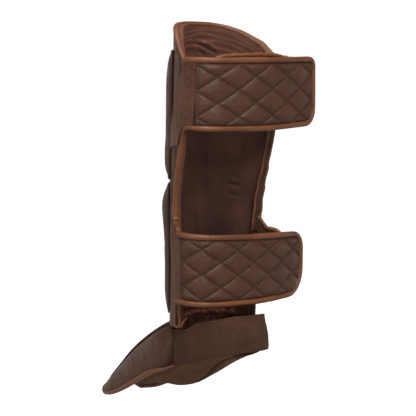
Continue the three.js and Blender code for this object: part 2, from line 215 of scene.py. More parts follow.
# The straps. root is where the quilting starts, sag how far the lower edge hangs, and corner a free corner's
# radius. fillet has the radii at the shell's edge, above and below. cross is one crossing of the quilting's seams,
# by run and height. slack says where the diamonds grow longer, and the share of their pitch from there on. tilt is
# how fast the pattern sinks with the run. plan is the course seen from above.
UPPER_STRAP = {
    "root": 28, "low": 259.5, "high": 340, "end_low": 258, "end_high": 337, "sag": 3,
    "corner_low": 15, "corner_high": 7, "fillet": (0, 17),
    "cross": (36, 303), "slack": (88, 0.87), "tilt": 0.0,
    "plan": [(81, 12), (80, 30), (74, 43), (57, 53.5), (26, 61), (-25, 68), (-77, 63.5), (-110, 56)],
}
LOWER_STRAP = {
    "root": 16, "low": 34, "high": 117, "end_low": 30, "end_high": 105, "sag": 2,
    "corner_low": 32, "corner_high": 17, "fillet": (8, 0),
    "cross": (48, 100.5), "slack": (48, 0.95), "tilt": 0.07,
    "plan": [
        (70.5, -12), (71.5, 5), (69, 20), (60, 33), (38, 42), (11, 46), (-39, 46), (-84, 37), (-117, 27),
    ],
}
# The under-straps. dip lowers the upper edge and rise lifts the lower one, by the share of the length.
UPPER_FLAP = {
    "low": 260, "high": 346, "root_low": 250, "root_high": 342,
    "dip": [(0, 0), (0.08, 4), (0.2, 9), (0.32, 8), (0.45, 2), (0.6, 0), (0.86, 1), (0.94, 4), (1, 12)],
    "rise": [(0, 0), (0.2, 1), (0.4, -1), (1, 0)],
    "plan": [
        (-78, 12), (-81, 22), (-87, 31), (-94, 39), (-96, 46), (-88, 51),
        (-72, 53), (-25, 58.6), (22, 51), (46, 45.2), (56, 40),
    ],
}
LOWER_FLAP = {
    "low": 38, "high": 112, "root_low": 38, "root_high": 130,
    "dip": [
        (0, 1), (0.03, 7), (0.06, 11), (0.09, 11), (0.12, 9.5), (0.15, 8), (0.2, 7.5), (0.25, 8), (0.6, 8),
        (0.9, 8), (1, 14),
    ],
    "rise": [(0, 0), (0.1, 10), (0.2, 22), (0.3, 14), (0.45, 0), (1, 0)],
    "plan": [
        (-68, -12), (-71, -4), (-78, 5), (-86, 13), (-88, 20), (-80, 25.6),
        (-62, 30.5), (-36, 36), (10, 36), (34, 33), (48, 26),
    ],
}
# crest y, crest z, half width, edge y, edge z, shoulder
INSTEP = [
    (-63.5, -6.4, 52, -35, -59, 0.15), (-95, -18, 51, -57, -67, 0.5), (-129, -36, 49, -90, -77, 0.85),
    (-162, -58, 47, -124, -94, 1), (-190, -83, 44, -156, -110, 1), (-213, -104, 40, -188, -123, 1),
    (-226, -116, 33, -213, -128, 1),
]
# x, y, low, high
HEEL = [
    (52, -34.2, -58, -13), (56, -8, -52, -9), (54, 12, -47, 0.5), (46, 40, -38, 7), (26, 61, -34, 12),
    (0, 67, -33, 12), (-26, 61, -34, 11), (-46, 40, -38, 5), (-54, 12, -47, 1), (-56, -8, -52, -9),
    (-52, -34.2, -58, -13),
]
# y, half width, edge height, sag
SOLE = [
    (-141, 38.5, -99, 6), (-104, 40.5, -82, 17), (-70, 43, -70, 26), (-36, 45, -58, 24),
    (0, 51, -47, 12), (30, 45.5, -37, 7), (50, 30.5, -31, 7),
]
# height and angle of the suede's front seam on the near side
UPPER_SEAM = [
    (228, 61), (238, 54), (250, 54), (261, 60), (280, 69), (298, 75.5), (314, 81.5), (326, 85.6), (337.5, 88.6),
]
LOWER_SEAM = [(-2, 66), (40, 67), (90, 68), (123, 68), (132, 74)]


def shade(red, green, blue):
    """A linear colour from the three values of a screen colour."""
    return tuple(
        c / 12.92 if c <= 0.04045 else ((c + 0.055) / 1.055) ** 2.4
        for c in (red / 255, green / 255, blue / 255)
    )


def length(name, description, default):
    return FloatProperty(name=name, description=description, default=default, unit="LENGTH")


def diamond(strap, default):
    return FloatVectorProperty(
        name=f"{strap} quilt", description=f"Width and height of one diamond on the {strap.lower()} strap",
        size=2, default=default, unit="LENGTH",
    )


class GuardSizes(bpy.types.PropertyGroup):
    """The sizes of the guard's soft detail"""

    quilt_upper: diamond("Upper", (0.052, 0.033))
    quilt_lower: diamond("Lower", (0.053, 0.0324))
    quilt_puff: length("Quilt puff", "Height of a diamond's middle over its seams", 0.0026)
    strap_roll: length("Strap binding", "How far the binding stands out from a strap's edge", 0.0052)
    stitch_length: length("Stitch", "Length of one stitch with the space after it", 0.0036)
    thread: length("Thread", "Thickness of the sewing thread", 0.0006)
    rib_pitch: length("Elastic rib", "Distance between the ribs of the elastic", 0.0026)
    floor_height: length("Floor", "Height of the floor under the guard's ankle line", -0.31)
    seed: IntProperty(name="Seed", description="Changes how the creases fall", default=4)


def colour(name, description, *screen):
    return FloatVectorProperty(
        name=name, description=description, size=3, min=0, max=1, default=shade(*screen), subtype="COLOR"
    )


class GuardColours(bpy.types.PropertyGroup):
    """The colours of the guard's finishes"""

    leather: colour("Leather", "Smooth leather of the shell and straps", 70, 43, 30)
    suede: colour("Suede", "Suede of the side wings", 62, 37, 26)
    binding: colour("Binding", "Tan binding round the edges", 100, 58, 32)
    lining: colour("Lining", "Cloth inside the shell", 96, 59, 45)
    stretch: colour("Elastic", "Elastic of the under-straps", 60, 38, 27)
    band: colour("Foot band", "Stretch cloth round the heel", 63, 40, 28)
    sole: colour("Sole band", "Stretch cloth under the foot", 92, 62, 40)
    thread: colour("Thread", "Sewing thread", 58, 39, 30)


# Curves and surfaces of the guard


def spline(values, i, t):
    """A value between two rows, eased by their neighbours."""
    last = len(values) - 1
    a, b = values[np.maximum(i - 1, 0)], values[i]
    c, d = values[i + 1], values[np.minimum(i + 2, last)]
    m, n = (c - a) / 2, (d - b) / 2
    return b + m * t + (3 * (c - b) - 2 * m - n) * t**2 + (m + n - 2 * (c - b)) * t**3


def eased(rows, at, column=1):
    """A column of a table where its first column has a given value."""
    rows = np.asarray(rows, float)
    at = np.clip(at, rows[0, 0], rows[-1, 0])
    i = np.clip(np.searchsorted(rows[:, 0], at, side="right") - 1, 0, len(rows) - 2)
    return spline(rows[:, column], i, (at - rows[i, 0]) / (rows[i + 1, 0] - rows[i, 0]))


def along(rows, share, column):
    """A column of a table a share of the way down it."""
    rows = np.asarray(rows, float)
    place = np.clip(share, 0, 1) * (len(rows) - 1)
    i = np.minimum(np.floor(place).astype(int), len(rows) - 2)
    return spline(rows[:, column], i, place - i)


def mix(a, b, t):
    return a + (b - a) * t


def smooth(x, low, high):
    """0 below low, 1 above high, eased between them."""
    t = np.clip((x - low) / (high - low), 0, 1)
    return t * t * (3 - 2 * t)


def bump(x, middle, width):
    return np.exp(-(((x - middle) / width) ** 2))


def stack(x, y, z):
    return np.stack(np.broadcast_arrays(x, y, z), -1).astype(float)


def unit(v):
    return v / np.maximum(np.linalg.norm(v, axis=-1, keepdims=True), 1e-9)


def noise(x, y, size, seed):
    """Smooth seeded noise from -1 to 1 over a surface, in lumps of a size."""
    x, y = np.broadcast_arrays(np.asarray(x, float) / size, np.asarray(y, float) / size)
    i, j = np.floor(x).astype(np.int64), np.floor(y).astype(np.int64)
    fx, fy = x - i, y - j
    fx, fy = fx**3 * (fx * (fx * 6 - 15) + 10), fy**3 * (fy * (fy * 6 - 15) + 10)

    def corner(a, b):
        h = (a * 374761393 + b * 668265263 + seed * 974711) & 0xFFFFFFFF
        h = ((h ^ (h >> 13)) * 1274126177) & 0xFFFFFFFF
        return ((h ^ (h >> 16)) & 0xFFFF) / 32767.5 - 1

    top = mix(corner(i, j + 1), corner(i + 1, j + 1), fx)
    return mix(mix(corner(i, j), corner(i + 1, j), fx), top, fy)


def lumps(x, y, size, seed, octaves=3):
    """Noise of several sizes."""
    return sum(noise(x, y, size / 2**k, seed + 17 * k) / 2**k for k in range(octaves)) / 1.5


def folds(x, y, size, seed):
    """Narrow valleys between soft ridges, from 0 in a valley to 1 on a ridge."""
    warp = 0.35 * size
    a = x + warp * noise(x, y, size * 1.3, seed + 5)
    b = y + warp * noise(x, y, size * 1.3, seed + 9)
    return np.minimum(np.abs(noise(a, b, size, seed)) * 2.2, 1) ** 0.7


def creases(x, y, table):
    """Depth of drawn creases: each row has two ends, a depth and a width."""
    depth = np.zeros(np.broadcast(x, y).shape)
    for x0, y0, x1, y1, deep, wide in table:
        dx, dy = x1 - x0, y1 - y0
        t = np.clip(((x - x0) * dx + (y - y0) * dy) / (dx * dx + dy * dy), 0, 1)
        off = np.hypot(x - x0 - t * dx, y - y0 - t * dy)
        fade = np.sin(np.pi * np.clip(t, 0.02, 0.98)) ** 0.5
        depth += deep * fade * (bump(off, 0, wide) - 0.45 * bump(off, 2 * wide, wide))
    return depth


def slopes(surface, u, v):
    """The short steps that a surface takes across and up."""
    step = 1e-3
    across = surface(np.clip(u + step, 0, 1), v) - surface(np.clip(u - step, 0, 1), v)
    return across, surface(u, np.clip(v + step, 0, 1)) - surface(u, np.clip(v - step, 0, 1))


def facing(surface, u, v):
    """The direction that a surface faces."""
    return unit(np.cross(*slopes(surface, u, v)))


def raised(face, normal, by):
    """A face moved along its normals."""
    return face + normal * np.asarray(by)[..., None]


def inset(u, v, grid=(1, 1)):
    """Distance from the nearest edge of a grid."""
    return np.minimum(np.minimum(u, 1 - u) * grid[0], np.minimum(v, 1 - v) * grid[1])


def per_axis(work, column):
    """What a function makes of a row of numbers, or of each axis of a row of vectors."""
    return work(column) if column.ndim == 1 else np.stack([work(axis) for axis in column.T], -1)


def spaced(count, crowd=0.0):
    """Shares from 0 to 1, crowded towards both ends."""
    t = np.linspace(0, 1, count + 1)
    return t - crowd * np.sin(2 * np.pi * t) / (2 * np.pi)


def net(columns, rows, crowd_u=0.0, crowd_v=0.0):
    return np.meshgrid(spaced(columns, crowd_u), spaced(rows, crowd_v), indexing="ij")


class Plan:
    """The course of a strap round the leg, seen from above, by the distance along it."""

    def __init__(self, points):
        p = np.array(points, float)
        p = np.vstack([2 * p[0] - p[1], p, 2 * p[-1] - p[-2]])
        runs, t = [], np.linspace(0, 1, 120, endpoint=False)[:, None]
        for a, b, c, d in zip(p, p[1:], p[2:], p[3:]):
            k, m, n = (np.linalg.norm(q - r) ** 0.5 for q, r in ((b, a), (c, b), (d, c)))
            e = ((b - a) / k - (c - a) / (k + m) + (c - b) / m) * m
            f = ((c - b) / m - (d - b) / (m + n) + (d - c) / n) * m
            runs.append(b + e * t + (3 * (c - b) - 2 * e - f) * t**2 + (e + f - 2 * (c - b)) * t**3)
        self.points = np.vstack([*runs, p[-2:-1]])
        steps = np.linalg.norm(np.diff(self.points, axis=0), axis=1)
        self.run = np.concatenate([[0], np.cumsum(steps)])
        self.length = self.run[-1]

    def at(self, s):
        inside = np.clip(s, 0, self.length)
        place = per_axis(lambda axis: np.interp(inside, self.run, axis), self.points)
        return place + self.heading(inside) * (s - inside)[..., None]

    def heading(self, s):
        ends = np.clip(s - 0.6, 0, self.length - 1.2), np.clip(s + 0.6, 1.2, self.length)
        start, end = (per_axis(lambda axis: np.interp(at, self.run, axis), self.points) for at in ends)
        return unit(end - start)


def shin_point(degrees, z):
    half, front, centre = (eased(SHIN_SECTIONS, z, k) for k in (1, 2, 3))
    a = np.radians(degrees)
    return stack(half * np.sin(a), centre - front * np.cos(a), z)


def near_edge(z):
    return eased(SIDE_EDGES, z, 1)


def far_edge(z):
    return eased(SIDE_EDGES, z, 2)


def shell_surface(u, v):
    guess = mix(SHIN_LOW, 350, v)
    degrees = mix(far_edge(guess), near_edge(guess), u)
    return shin_point(degrees, mix(SHIN_LOW, eased(RIM, degrees), v))


def foam(u, v=0.5):
    """Thickness of the shell's foam, which thins at the near end of the rim."""
    worn = 2.6 * smooth(v, 0.88, 1.0) * smooth(u, 0.7, 0.97)
    return SHELL_EDGE - worn + (SHELL_FRONT - SHELL_EDGE) * np.sin(np.pi * np.clip(u, 0, 1)) ** 0.8


def shin_normal(spot):
    """The shin's outward direction, level, at a point on it."""
    centre = eased(SHIN_SECTIONS, spot[..., 2], 3)
    half_width, half_depth = 78, 75
    return unit(stack(spot[..., 0] / half_width**2, (spot[..., 1] - centre) / half_depth**2, 0))


def share_of_height(z):
    return (z - SHIN_LOW) / (eased(RIM, 80) - SHIN_LOW)


def start_of(plan, z, edge):
    """Distance along a plan at which it clears the shell's edge."""
    return shin_point(edge(z), z)[..., 1] + 1.2 - plan[0][1]


def corner_cut(from_end, radius):
    inside = np.clip(radius - from_end, 0, radius)
    return radius - np.sqrt(radius**2 - inside**2)


class Strap:
    """One of the two wide straps: its outer face by distance along it and by height."""

    def __init__(self, spec, quilt, seed):
        self.spec, self.seed = spec, seed
        self.plan = Plan(spec["plan"])
        self.length = self.plan.length
        self.quilt = np.array(quilt) * 1000

    def low(self, s):
        spec = self.spec
        sag = spec["sag"] * np.sin(np.pi * np.clip(s / self.length, 0, 1))
        return mix(spec["low"], spec["end_low"], s / self.length) - sag

    def high(self, s):
        return mix(self.spec["high"], self.spec["end_high"], s / self.length)

    def place(self, s, z):
        xy = self.plan.at(s)
        return stack(xy[..., 0], xy[..., 1], z)

    def normal(self, s):
        t = self.plan.heading(s)
        return stack(t[..., 1], -t[..., 0], 0 * t[..., 0])

    def edge_distance(self, s, z):
        """Distance to the nearest bound edge."""
        spec = self.spec
        up = self.high(s) - corner_cut(self.length - s, spec["corner_high"]) - z
        down = z - self.low(s) - corner_cut(self.length - s, spec["corner_low"])
        return np.minimum(np.minimum(up, down), self.length - s)

    def drawn(self, s):
        """How far the quilting has run, and how much lower it lies, at a distance along the strap."""
        turn, pace = self.spec["slack"]
        return np.where(s < turn, turn + (s - turn) * pace, s), self.spec["tilt"] * (s - self.spec["cross"][0])

    def lift(self, s, z, puff):
        """Height of the quilted leather over the strap's face, and its relief from -1 in a seam to 1, from which the
        finish paints shade in the seams and highlights on the puffs.
        """
        wide, tall = self.quilt
        s0, z0 = self.spec["cross"]
        pitch = wide * tall / math.hypot(wide, tall)
        wobble = 0.5 * noise(s, z, 24, self.seed)
        run, lower = self.drawn(s)
        across, up = (run - s0) / wide, (z + lower - z0) / tall
        a, b = across + up, across - up
        da, db = (np.abs(q - np.round(q)) * pitch + 0.02 for q in (a, b))
        edge = self.edge_distance(s, z)
        start = s - self.spec["root"]
        rise = (1 - np.exp(-da / 2.9)) * (1 - np.exp(-db / 2.9))
        rise = rise * (0.8 + 0.2 * smooth(np.minimum(da, db), 0, pitch / 2))
        border = smooth(edge, 1.0, 9.0) * (0.25 + 0.75 * smooth(start, 1.5, 9))
        nip = -0.7 * np.exp(-((np.minimum(da, db) / 0.8) ** 1.5)) * smooth(edge, 1, 4) * smooth(start, 1, 4)
        pucker = 0.0
        for d, run, k in ((da, b, 3), (db, a, 7)):
            pucker = pucker + 0.28 * noise(run * pitch, d * 0.3, 2.6, self.seed + k) * bump(d, 2.2, 2.4)
        soft = 0.22 * lumps(s, z, 16, self.seed + 30) + 0.2 * (folds(s, z, 13, self.seed + 40) - 0.6) * rise
        twin = sum(-0.75 * bump(start, at, 0.55) for at in SEAM_TWINS) * smooth(edge, 1, 3)
        seam = -1.1 * bump(edge, 2.0, 1.1)
        height = (puff * rise + pucker + soft + 0.2 * wobble) * border + nip + twin + seam - 0.6
        # relief paints shade in the quilting's seams, the twin seams and the groove by the binding, and a highlight on
        # the puffed diamonds
        relief = np.clip(rise * border - 0.55, -0.15, 1) + nip * 0.42 + twin * 0.7 + seam * 0.5 + 0.5 * pucker
        return height, np.clip(relief, -1, 1)

    def seam_lines(self, puff):
        """Points and directions of every quilting seam, for the thread."""
        wide, tall = self.quilt
        s0, z0 = self.spec["cross"]
        lines = []
        for sign in (1, -1):
            for k in range(-9, 13):
                s = np.arange(self.spec["root"] + 5.2, self.length - 3, 0.8)
                run, lower = self.drawn(s)
                z = z0 + sign * tall * (k - (run - s0) / wide) - lower
                lines.append((s, z))
        for at in SEAM_TWINS:
            z = np.arange(self.low(0) - 5, self.high(0), 0.8)
            lines.append((0 * z + self.spec["root"] + at, z))
        made = []
        for s, z in lines:
            inside = self.edge_distance(s, z) > 3.2
            for run in np.split(np.arange(len(s)), np.flatnonzero(~inside)):
                run = run[inside[run]]
                if len(run) > 6:
                    normal = self.normal(s[run])
                    height = self.lift(s[run], z[run], puff)[0] + 0.12
                    made.append((raised(self.place(s[run], z[run]), normal, height), normal))
        return made


# Meshes


def closed_layer(outer, inner):
    """Points and faces of a closed layer between two nets of points."""
    m, n = outer.shape[:2]
    o = np.arange(m * n).reshape(m, n)
    q = o + m * n

    def quads(*corners):
        return np.stack(corners, -1).reshape(-1, 4)

    faces = np.vstack([
        quads(o[:-1, :-1], o[1:, :-1], o[1:, 1:], o[:-1, 1:]),
        quads(q[:-1, :-1], q[:-1, 1:], q[1:, 1:], q[1:, :-1]),
        quads(o[:-1, 0], q[:-1, 0], q[1:, 0], o[1:, 0]),
        quads(o[:-1, -1], o[1:, -1], q[1:, -1], q[:-1, -1]),
        quads(o[0, :-1], o[0, 1:], q[0, 1:], q[0, :-1]),
        quads(o[-1, :-1], q[-1, :-1], q[-1, 1:], o[-1, 1:]),
    ])
    points = np.vstack([outer.reshape(-1, 3), inner.reshape(-1, 3)])
    p = points[faces]
    volume = sum(np.einsum("ij,ij->", p[:, 0], np.cross(p[:, k], p[:, k + 1])) for k in (1, 2))
    return points, faces if volume > 0 else faces[:, ::-1]


def surface_piece(name, outer, inner, material, flat, relief, inside=False):
    """A closed layer as an object.

    flat is its own grid in millimetres. relief, from -1 in a seam to 1 on a crest, is laid on the outer face, or
    on the inner one. The finishes paint shade from its low values and highlights from its high ones.
    """
    points, faces = closed_layer(outer, inner)
    mesh = bpy.data.meshes.new(name)
    mesh.from_pydata((points * 0.001).tolist(), [], faces.tolist())
    both = np.vstack([np.stack(flat, -1).reshape(-1, 2)] * 2) * 0.001
    corners = np.empty(len(mesh.loops), np.int32)
    mesh.loops.foreach_get("vertex_index", corners)
    mesh.uv_layers.new(name="weave").data.foreach_set("uv", both[corners].astype(np.float32).ravel())
    values = np.zeros((2, relief.size), np.float32)
    values[int(inside)] = relief.ravel()
    mesh.attributes.new("relief", "FLOAT", "POINT").data.foreach_set("value", values.ravel())
    mesh.materials.append(material)
    mesh.polygons.foreach_set("use_smooth", [True] * len(mesh.polygons))
    mesh.update()
    return show(name, mesh)


def show(name, mesh):
    piece = bpy.data.objects.new(name, mesh)
    bpy.context.scene.collection.objects.link(piece)
    return piece


def settle(piece, slot, *nodes):
    """Puts a piece on the guard's one body, in place of the frame's solids."""
    if len(piece.data.polygons) == 0:
        raise RuntimeError(f"{piece.name} came out empty")
    if nodes:
        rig.replaces(piece, *nodes)
    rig.ride(piece, "root")
    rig.slot(piece, slot)
    return piece


# Bindings and stitches by Geometry Nodes


def add_node(tree, kind, settings=None, **inputs):
    """A node with its inputs filled in: a socket is linked, anything else is a value."""
    node = tree.nodes.new(kind)
    for key, value in (settings or {}).items():
        setattr(node, key, value)
    for key, value in inputs.items():
        at = int(key[1:]) if key[0] == "i" and key[1:].isdigit() else key.replace("_", " ")
        if isinstance(value, bpy.types.NodeSocket):
            tree.links.new(value, node.inputs[at])
        else:
            node.inputs[at].default_value = value
    return node


def named(tree, name, kind):
    return add_node(tree, "GeometryNodeInputNamedAttribute", {"data_type": kind}, Name=name).outputs[0]


def maths(tree, operation, a, b=0.0, c=0.0):
    return add_node(tree, "ShaderNodeMath", {"operation": operation}, i0=a, i1=b, i2=c).outputs[0]


def vectors(tree, operation, a, b=None, scale=None):
    extra = {} if b is None else {"i1": b}
    if scale is not None:
        extra["Scale"] = scale
    return add_node(tree, "ShaderNodeVectorMath", {"operation": operation}, i0=a, **extra).outputs[0]


def new_tree(name, inputs):
    tree = bpy.data.node_groups.new(name, "GeometryNodeTree")
    face = tree.interface
    face.new_socket("Geometry", in_out="INPUT", socket_type="NodeSocketGeometry")
    face.new_socket("Geometry", in_out="OUTPUT", socket_type="NodeSocketGeometry")
    for label, kind, value in inputs:
        socket = face.new_socket(label, in_out="INPUT", socket_type=kind)
        if value is not None:
            socket.default_value = value
    return tree, tree.nodes.new("NodeGroupInput"), tree.nodes.new("NodeGroupOutput")


def closed_tree(tree, given, out, made):
    """Realizes, smooths and dyes what a tree has made, and ends the tree with it."""
    for kind, inputs in (
        ("GeometryNodeRealizeInstances", {}), ("GeometryNodeSetShadeSmooth", {}),
        ("GeometryNodeSetMaterial", {"Material": given.outputs["Material"]}),
    ):
        made = add_node(tree, kind, None, Geometry=made.outputs[0], **inputs)
    tree.links.new(made.outputs[0], out.inputs[0])
    return tree


def binding_tree():
    """Rolls a strip of binding round a line whose points carry the directions and sizes of its section."""
    found = bpy.data.node_groups.get("guard_binding")
    if found:
        return found
    tree, given, out = new_tree("guard_binding", [
        ("Points round", "NodeSocketInt", 16),
        ("Fullness", "NodeSocketFloat", 0.75),
        ("Material", "NodeSocketMaterial", None),
    ])
    rail = add_node(tree, "GeometryNodeMeshToCurve", None, Mesh=given.outputs["Geometry"])
    middle = add_node(
        tree, "GeometryNodeStoreNamedAttribute", {"data_type": "FLOAT_VECTOR", "domain": "POINT"},
        Geometry=rail.outputs[0], Name="middle",
        Value=tree.nodes.new("GeometryNodeInputPosition").outputs[0],
    )
    ring = add_node(
        tree, "GeometryNodeCurvePrimitiveCircle", {"mode": "RADIUS"},
        Resolution=given.outputs["Points round"], Radius=0.001,
    )
    turn = maths(
        tree, "DIVIDE",
        maths(tree, "MULTIPLY", tree.nodes.new("GeometryNodeInputIndex").outputs[0], 2 * math.pi),
        given.outputs["Points round"],
    )
    profile = add_node(
        tree, "GeometryNodeStoreNamedAttribute", {"data_type": "FLOAT", "domain": "POINT"},
        Geometry=ring.outputs[0], Name="turn", Value=turn,
    )
    swept = add_node(
        tree, "GeometryNodeCurveToMesh", None,
        Curve=middle.outputs[0], Profile_Curve=profile.outputs[0], Fill_Caps=True,
    )
    angle = named(tree, "turn", "FLOAT")

    def rounded(wave):
        side = maths(tree, wave, angle)
        full = maths(tree, "POWER", maths(tree, "ABSOLUTE", side), given.outputs["Fullness"])
        return maths(tree, "MULTIPLY", maths(tree, "SIGN", side), full)

    across = maths(tree, "MULTIPLY", rounded("COSINE"), named(tree, "half_out", "FLOAT"))
    deep = maths(tree, "MULTIPLY", rounded("SINE"), named(tree, "half_deep", "FLOAT"))
    place = vectors(
        tree, "ADD", named(tree, "middle", "FLOAT_VECTOR"),
        vectors(
            tree, "ADD",
            vectors(tree, "SCALE", named(tree, "out", "FLOAT_VECTOR"), scale=across),
            vectors(tree, "SCALE", named(tree, "deep", "FLOAT_VECTOR"), scale=deep),
        ),
    )
    moved = add_node(tree, "GeometryNodeSetPosition", None, Geometry=swept.outputs[0], Position=place)
    return closed_tree(tree, given, out, moved)


def stitch_tree():
    """Lays stitches end to end along lines whose points carry the direction that they face."""
    found = bpy.data.node_groups.get("guard_stitches")
    if found:
        return found
    tree, given, out = new_tree("guard_stitches", [
        ("Stitch length", "NodeSocketFloat", 0.0036),
        ("Thread", "NodeSocketFloat", 0.0006),
        ("Material", "NodeSocketMaterial", None),
    ])
    rail = add_node(tree, "GeometryNodeMeshToCurve", None, Mesh=given.outputs["Geometry"])
    dotted = add_node(
        tree, "GeometryNodeResampleCurve", {"mode": "LENGTH"},
        Curve=rail.outputs[0], Length=given.outputs["Stitch length"],
    )
    lengthwise = add_node(
        tree, "FunctionNodeAlignRotationToVector", {"axis": "X"},
        Vector=tree.nodes.new("GeometryNodeInputTangent").outputs[0],
    )
    upright = add_node(
        tree, "FunctionNodeAlignRotationToVector", {"axis": "Z", "pivot_axis": "X"},
        Rotation=lengthwise.outputs[0], Vector=named(tree, "facing", "FLOAT_VECTOR"),
    )
    bead = add_node(tree, "GeometryNodeMeshUVSphere", None, Segments=6, Rings=4, Radius=1.0)
    size = add_node(
        tree, "ShaderNodeCombineXYZ", None,
        X=maths(tree, "MULTIPLY", given.outputs["Stitch length"], 0.43),
        Y=maths(tree, "MULTIPLY", given.outputs["Thread"], 0.55),
        Z=maths(tree, "MULTIPLY", given.outputs["Thread"], 0.45),
    )
    laid = add_node(
        tree, "GeometryNodeInstanceOnPoints", None,
        Points=dotted.outputs[0], Instance=bead.outputs[0], Rotation=upright.outputs[0], Scale=size.outputs[0],
    )
    return closed_tree(tree, given, out, laid)


def grow(name, lines, attributes, tree, material, inputs=None):
    """Runs a tree on polylines that carry attributes, and keeps the result as a plain mesh."""
    points = np.vstack(lines) * 0.001
    edges, at = [], 0
    for line in lines:
        edges += [(at + k, at + k + 1) for k in range(len(line) - 1)]
        at += len(line)
    mesh = bpy.data.meshes.new(name)
    mesh.from_pydata(points.tolist(), edges, [])
    for key, values in attributes.items():
        values = np.asarray(values, np.float32)
        kind, field = ("FLOAT_VECTOR", "vector") if values.ndim == 2 else ("FLOAT", "value")
        mesh.attributes.new(key, kind, "POINT").data.foreach_set(field, values.ravel())
    piece = show(name, mesh)
    modifier = piece.modifiers.new("grow", "NODES")
    modifier.node_group = tree
    settings = {"Material": material, **(inputs or {})}
    for item in tree.interface.items_tree:
        if item.item_type == "SOCKET" and item.in_out == "INPUT" and item.name in settings:
            modifier[item.identifier] = settings[item.name]
    graph = bpy.context.evaluated_depsgraph_get()
    whole = bpy.data.meshes.new_from_object(piece.evaluated_get(graph))
    piece.modifiers.remove(modifier)
    piece.data = whole
    bpy.data.meshes.remove(mesh)
    whole.name = name
    for key in ("middle", "turn", "out", "deep", "half_out", "half_deep", "facing"):
        if key in whole.attributes:
            whole.attributes.remove(whole.attributes[key])
    if material.name not in [m.name for m in whole.materials if m]:
        whole.materials.append(material)
    if not whole.polygons:
        raise RuntimeError(f"{name} came out empty")
    return piece


class Run:
    """Stations of a binding: place, directions outwards and through the wall, and the section's half sizes."""

    def __init__(self, place, out, deep, half_out, half_deep, relief=0.0):
        count = len(place)
        self.place, self.out, self.deep = place, unit(out), unit(deep)
        self.half_out = np.broadcast_to(np.asarray(half_out, float), (count,)).copy()
        self.half_deep = np.broadcast_to(np.asarray(half_deep, float), (count,)).copy()
        self.relief = np.broadcast_to(np.asarray(relief, float), (count,)).copy()

    def __len__(self):
        return len(self.place)

    def columns(self):
        return [self.place, self.out, self.deep, self.half_out, self.half_deep, self.relief]

    def __add__(self, other):
        return Run(*(np.concatenate(pair) for pair in zip(self.columns(), other.columns())))

    def __getitem__(self, part):
        return Run(*(column[part] for column in self.columns()))

    def distance(self):
        steps = np.linalg.norm(np.diff(self.place, axis=0), axis=1)
        return np.concatenate([[0], np.cumsum(steps)])

    def even(self, pitch):
        """The same run with stations at an even distance."""
        d = self.distance()
        at = np.linspace(0, d[-1], max(int(d[-1] / pitch), 3) + 1)

        return Run(*(per_axis(lambda axis: np.interp(at, d, axis), column) for column in self.columns()))

    def eased(self, reach):
        """The same run with its turns softened over a number of stations."""
        kernel = np.hanning(2 * reach + 3)[1:-1]
        kernel /= kernel.sum()

        def soften(axis):
            return np.convolve(np.pad(axis, reach, mode="edge"), kernel, "valid")

        made = [per_axis(soften, column) for column in self.columns()]
        made[0][0], made[0][-1] = self.place[0], self.place[-1]
        return Run(*made)

    def moved(self, out=0.0, deep=0.0):
        out, deep = (np.broadcast_to(x, (len(self),))[:, None] for x in (out, deep))
        return Run(self.place + self.out * out + self.deep * deep, *self.columns()[1:])

    def sized(self, half_out, half_deep):
        return Run(self.place, self.out, self.deep, half_out, half_deep, self.relief)


def capped(run):
    """A run whose ends close in a round."""
    far, sizes = np.array([0.45, 0.8, 0.95]), np.array([0.86, 0.55, 0.25])

    def end(at, step):
        ahead = unit(run.place[at] - run.place[at + step])
        half = min(run.half_out[at], run.half_deep[at])
        place, out, deep, half_out, half_deep, relief = (np.repeat(c[at][None], 3, 0) for c in run.columns())
        return Run(place + ahead * half * far[:, None], out, deep, half_out * sizes, half_deep * sizes, relief)

    return end(0, 1)[::-1] + run + end(len(run) - 1, -1)


def binding_piece(name, runs, material, round_points=16, fullness=0.75):
    """A binding rolled along one or more runs."""
    runs = [capped(run) for run in runs]
    columns = [np.concatenate(parts) for parts in zip(*(run.columns() for run in runs))]
    piece = grow(
        name, [run.place for run in runs],
        {
            "out": columns[1], "deep": columns[2], "half_out": columns[3] * 0.001,
            "half_deep": columns[4] * 0.001, "relief": columns[5],
        },
        binding_tree(), material, {"Points round": round_points, "Fullness": fullness},
    )
    mesh = piece.data
    points = np.empty(len(mesh.vertices) * 3, np.float32)
    mesh.vertices.foreach_get("co", points)
    mesh.calc_loop_triangles()
    corners = points.reshape(-1, 3)[np.array([face.vertices for face in mesh.loop_triangles])].astype(float)
    if np.einsum("ij,ij->", corners[:, 0], np.cross(corners[:, 1], corners[:, 2])) < 0:
        mesh.flip_normals()
    return piece


def thread_piece(name, lines, material, sizes):
    """Stitches along lines of points, each given with the direction that it faces."""
    return grow(
        name, [points for points, _ in lines],
        {"facing": np.vstack([normal for _, normal in lines])},
        stitch_tree(), material, {"Stitch length": sizes.stitch_length, "Thread": sizes.thread},
    )


def shell_run(u, v, du, dv, share=0.5, half_out=2.0, half_deep=None):
    """Stations on the shell's edge. share is how deep in the wall they lie."""
    u, v = np.broadcast_arrays(np.asarray(u, float), np.asarray(v, float))
    across, up = slopes(shell_surface, u, v)
    normal = unit(np.cross(across, up))
    wall = foam(u, v) + LINING_GAP + LINING_WALL
    place = raised(shell_surface(u, v), normal, -(wall * share))
    half = wall / 2 if half_deep is None else half_deep
    return Run(place, unit(across) * du + unit(up) * dv, normal, half_out, half)


# Finishes


def blend_colours(tree, factor, a, b, mode="MIX"):
    node = tree.nodes.new("ShaderNodeMix")
    node.data_type, node.blend_type = "RGBA", mode
    for at, value in ((0, factor), (6, a), (7, b)):
        if isinstance(value, bpy.types.NodeSocket):
            tree.links.new(value, node.inputs[at])
        else:
            node.inputs[at].default_value = value if at == 0 else (*value[:3], 1)
    return node.outputs[2]


def ranged(tree, value, low, high, to_low=0.0, to_high=1.0):
    return add_node(
        tree, "ShaderNodeMapRange", {"clamp": True},
        Value=value, From_Min=low, From_Max=high, To_Min=to_low, To_Max=to_high,
    ).outputs[0]


def scaled(colour, by):
    return tuple(min(c * by, 1.0) for c in colour)


